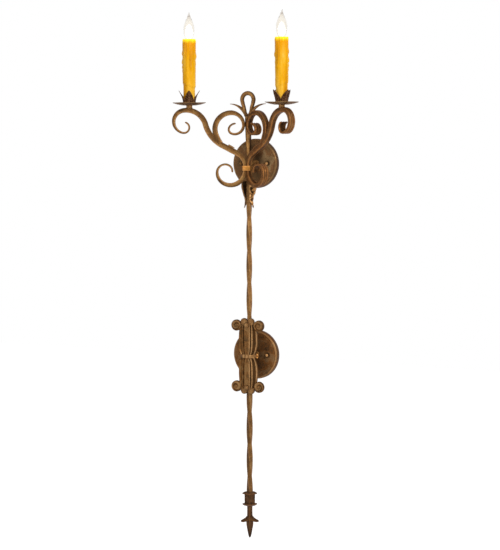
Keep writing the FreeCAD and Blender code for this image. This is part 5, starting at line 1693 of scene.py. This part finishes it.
        # over the rim, down the bore and out over the foot: distance and height of each column
        rest = [(last - 0.35, edge - 0.45), (last - 1.0, edge - 0.12), (14.1, edge - 0.15),
                (13.4, edge - 0.6), (self.bore, edge - 1.8)]
        rest += [(self.bore, height) for height in np.linspace(tall - 6, 2.0, 24)]
        rest += [(13.4, 0.3), (14.3, 0.16)]
        radii = np.concatenate([r] + [turn * 0 + distance for distance, _ in rest], 1)
        heights = np.concatenate([up + turn * 0] + [turn * 0 + height for _, height in rest], 1)
        grid = points(self.axis[0] + radii * np.cos(turn), self.axis[1] + radii * np.sin(turn),
                      self.base + self.sleeve_foot + heights)
        start = tall - 15 + 1.4 * np.cos(7 * own) + 0.8 * np.sin(16 * own)
        # painted glow of the lamp near the rim
        glow = 0.35 * ramp(heights, tall - 55, tall - 10) + 0.65 * ramp(heights, start, start + 14.0) ** 1.5
        name, node, body = self.side.names("resin_sleeve", "candle_cover", "cover")
        Shell(grid, True, glow=glow).finish(name, node, self.finishes.resin, "amber_candle", body)

    def wax(self, own: Array, up: Array) -> Array:
        """How far the wax stands out from the sleeve's skin.

        A drip is a ridge whose depth goes as a squared cosine across it; it swells to a
        rounded end. A bead is a short ridge that falls away faster below than above.

        Args:
            own: angles round the sleeve, as a column.
            up: heights, as a row.

        Returns:
            The relief in mm.
        """
        chance = np.random.default_rng(self.sleeve_seed)
        count = self.drips
        angles = np.arange(count) * CIRCLE / count + chance.uniform(-0.12, 0.12, count)
        ends = chance.uniform(60, 132, count)
        widths = chance.uniform(0.14, 0.26, count)
        relief = np.zeros(np.broadcast_shapes(own.shape, up.shape))
        for place, end, width in zip(angles, ends, widths):
            wander = place + 0.05 * np.sin(up / 17.0 + place * 5)
            swell = 1.0 + 0.9 * np.exp(-((up - end - 4.5) / 4.0) ** 2)
            tail = ramp(up, end, end + 3.0) ** 0.5
            relief = np.maximum(relief, 0.5 * self.ridge(own - wander, width) * tail * swell)
        for angle, height, length, proud in self.beads:
            away_up = np.where(up > height, (up - height) / (2.2 * length), (up - height) / length)
            ridge = self.ridge(own - math.radians(angle), 0.42)
            relief = np.maximum(relief, proud * ridge * np.exp(-away_up ** 2))
        return relief

    def ridge(self, away_round: Array, width: float) -> Array:
        """Squared cosine across a ridge, from angles away from its crest and its half width."""
        share = np.abs((away_round + np.pi) % CIRCLE - np.pi) / width
        return np.cos(np.clip(share, 0, 1) * np.pi / 2) ** 2

    def build_lamp(self) -> None:
        """Flame-tip glass, thick at its drawn tip, with the lit filament's bloom inside it."""
        up = np.concatenate([np.linspace(0, 84, 110), np.linspace(84.3, 86.9, 12)])
        radius = np.maximum(smooth_rows(self.lamp_table, up)[0], 0.02)
        hollow = up < self.bore_top
        bore = np.maximum(radius - 0.6 - 1.6 * ramp(up, 60, self.bore_top) ** 2, 0.02)
        line = np.concatenate([points(radius, up)[::-1], [[radius[0] - 0.3, -0.15]],
                               points(bore, up)[hollow], [[0.02, 77.4]]])
        self.add_glass(line, 72, self.finishes.glass, "flame_glass", "bulb_glass")
        bloom_up = np.linspace(self.bloom_foot, self.bloom_top, 60)
        rise = (bloom_up - self.bloom_foot) / (self.bloom_top - self.bloom_foot)
        share = (0.62 + 0.16 * np.sin(np.pi * rise)) * np.sqrt(np.clip(1 - rise ** 4, 0.0, 1))
        bloom = np.maximum(np.interp(bloom_up, up, radius) * share, 0.02)
        bloom[0] = 0.02
        self.add_glass(points(bloom, bloom_up), 56, self.finishes.glow, "lit_bloom", "bulb_stem")

    def add_glass(self, line: Array, columns: int, material: Material, *words: str) -> None:
        """Turned piece of the lamp whose upper end leans a little, as a drawn flame tip does.

        Args:
            line: its radii and heights above the lamp's foot.
            columns: points round it.
            material: its finish.
            words: its name, and the name of the CAD node that it replaces.
        """
        centre = (self.axis[0], self.axis[1], self.base + self.lamp_foot)
        grid = lathe_grid(centre, line, columns, rounds=0)
        grid[..., 0] += self.tip_lean * ramp(line[:, 1], 62, 87)[:, None] ** 2
        name, node, body = self.side.names(*words, "bulb")
        Shell(grid).finish(name, node, material, "clear_glass", body)


@dataclass
class HiddenHardware:
    """Crossbars, studs, nuts, risers, sockets and lamp caps, shown as the CAD model has them."""

    finishes: Finishes

    def build(self, nodes: dict[str, bpy.types.Object]) -> None:
        """Give each CAD node that still shows its finish.

        Args:
            nodes: the frame's CAD nodes by name.
        """
        endings = {("crossbar", "studs", "locknuts", "standoff_nuts", "riser"): self.finishes.zinc,
                   ("bulb_cap", "screw_shell", "centre_contact"): self.finishes.nickel,
                   ("ground_screw",): self.finishes.green, ("socket",): self.finishes.phenolic}
        for name, node in nodes.items():
            for words, material in endings.items():
                if name.endswith(words):
                    node.data.materials.clear()
                    node.data.materials.append(material)
                    LOG.info("%s: %s", name, material.name)


# Stage


@dataclass
class Studio:
    """White studio, in metres: floor well below the sconce, two soft lamps and the camera."""

    floor_z: float = -1.3
    floor_half: float = 6.0
    # strength of the floor's own white, of the world's light and of the lamps in watts
    floor_white: float = 0.72
    world_grey: float = 0.32
    key_watts: float = 174.0
    fill_watts: float = 32.0
    # places of the lamps, their width and the point that they look at, in metres
    key_place: tuple = (3.7, -2.6, 1.9)
    fill_place: tuple = (-2.2, -4.0, 0.8)
    lamp_width: float = 1.3
    aim: tuple = (0.0, -0.05, -0.2)
    # the photograph's camera: place in metres, turns in degrees and focal length in pixels
    camera_place: tuple = (2.2497, -4.4653, 0.0884)
    azimuth: float = 26.958
    pitch: float = -4.305
    roll: float = 0.125
    focal_pixels: float = 1940.55
    image_height: float = 550.0
    sensor: float = 36.0

    def build(self) -> None:
        """Make the floor, the world, the lamps and the camera."""
        self.build_floor()
        self.build_world()
        self.add_lamp("key_light", self.key_place, self.key_watts)
        self.add_lamp("fill_light", self.fill_place, self.fill_watts)
        self.build_camera()

    def build_floor(self) -> None:
        """Pale plain floor that looks white and keeps the sconce's shadow."""
        nodes = Nodes(bpy.data.materials.new("pale_floor_paint"))
        glow = nodes.add("Math", 0, TIMES, n0=nodes.seen_rays(), n1=self.floor_white)
        nodes.fill(nodes.shader, Base_Color=linear("#f4f4f4"), Roughness=0.9, Specular_IOR_Level=0.0,
                   Emission_Color=linear("#ffffff"), Emission_Strength=glow)
        mesh = bpy.data.meshes.new("floor")
        r = self.floor_half
        mesh.from_pydata([(-r, -r, 0), (r, -r, 0), (r, r, 0), (-r, r, 0)], [], [(0, 1, 2, 3)])
        mesh.materials.append(nodes.owner)
        floor = bpy.data.objects.new("floor", mesh)
        floor.location = (0, 0, self.floor_z)
        bpy.context.scene.collection.objects.link(floor)

    def build_world(self) -> None:
        """White to the camera, in mirrors and through glass; a level grey where it lights."""
        world = bpy.data.worlds.new("studio")
        bpy.context.scene.world = world
        nodes = Nodes(world, "Background", "OutputWorld")
        level = nodes.add("MapRange", Value=nodes.seen_rays(), To_Min=self.world_grey, To_Max=1.0)
        nodes.fill(nodes.shader, Color=linear("#ffffff"), Strength=level)

    def add_lamp(self, name: str, place: tuple[float, float, float], watts: float) -> None:
        """Square soft lamp that looks at the sconce.

        Args:
            name: the lamp's name.
            place: where it hangs, in metres.
            watts: its power.
        """
        light = bpy.data.lights.new(name, "AREA")
        light.size = self.lamp_width
        light.energy = watts
        lamp = bpy.data.objects.new(name, light)
        lamp.location = place
        lamp.rotation_euler = (Vector(self.aim) - Vector(place)).to_track_quat("-Z", "Y").to_euler()
        bpy.context.scene.collection.objects.link(lamp)

    def build_camera(self) -> None:
        """Camera of the photograph: 27 degrees to the left, a little above the middle."""
        azimuth, pitch, roll = (math.radians(turn) for turn in (self.azimuth, self.pitch, self.roll))
        forward = Vector((-math.sin(azimuth) * math.cos(pitch), math.cos(azimuth) * math.cos(pitch),
                          math.sin(pitch)))
        right = forward.cross(Vector((0, 0, 1))).normalized()
        up = right.cross(forward)
        turn = Matrix.Rotation(roll, 3, forward)
        axes = Matrix((turn @ right, turn @ up, -forward)).transposed()
        data = bpy.data.cameras.new("camera")
        data.sensor_width = self.sensor
        data.lens = self.sensor * self.focal_pixels / self.image_height
        data.clip_end = 100.0
        camera = bpy.data.objects.new("camera", data)
        camera.matrix_world = Matrix.Translation(self.camera_place) @ axes.to_4x4()
        bpy.context.scene.collection.objects.link(camera)
        bpy.context.scene.camera = camera


def main() -> None:
    """Build the sconce on the CAD frame."""
    logging.basicConfig(level=logging.INFO, format="%(name)s: %(message)s")
    bpy.context.scene.view_settings.view_transform = "Standard"
    finishes = Finishes()
    arms = [Arm(finishes, side) for side in Side]
    bar = TwistedBar(finishes)
    parts = arms + [Upright(finishes, arms[0])] + [LeafWrap(finishes, side) for side in Side]
    parts += [bar, Finial(finishes, bar), Cartouche(finishes), WaistBand(finishes),
              WallMount(finishes, Level.UPPER, reach=40.6), WallMount(finishes, Level.LOWER, reach=36.3)]
    parts += [Candle(finishes, side) for side in Side]
    for part in parts:
        part.build()
    HiddenHardware(finishes).build(frame["nodes"])
    Studio().build()


if __name__ == "__main__":
    main()
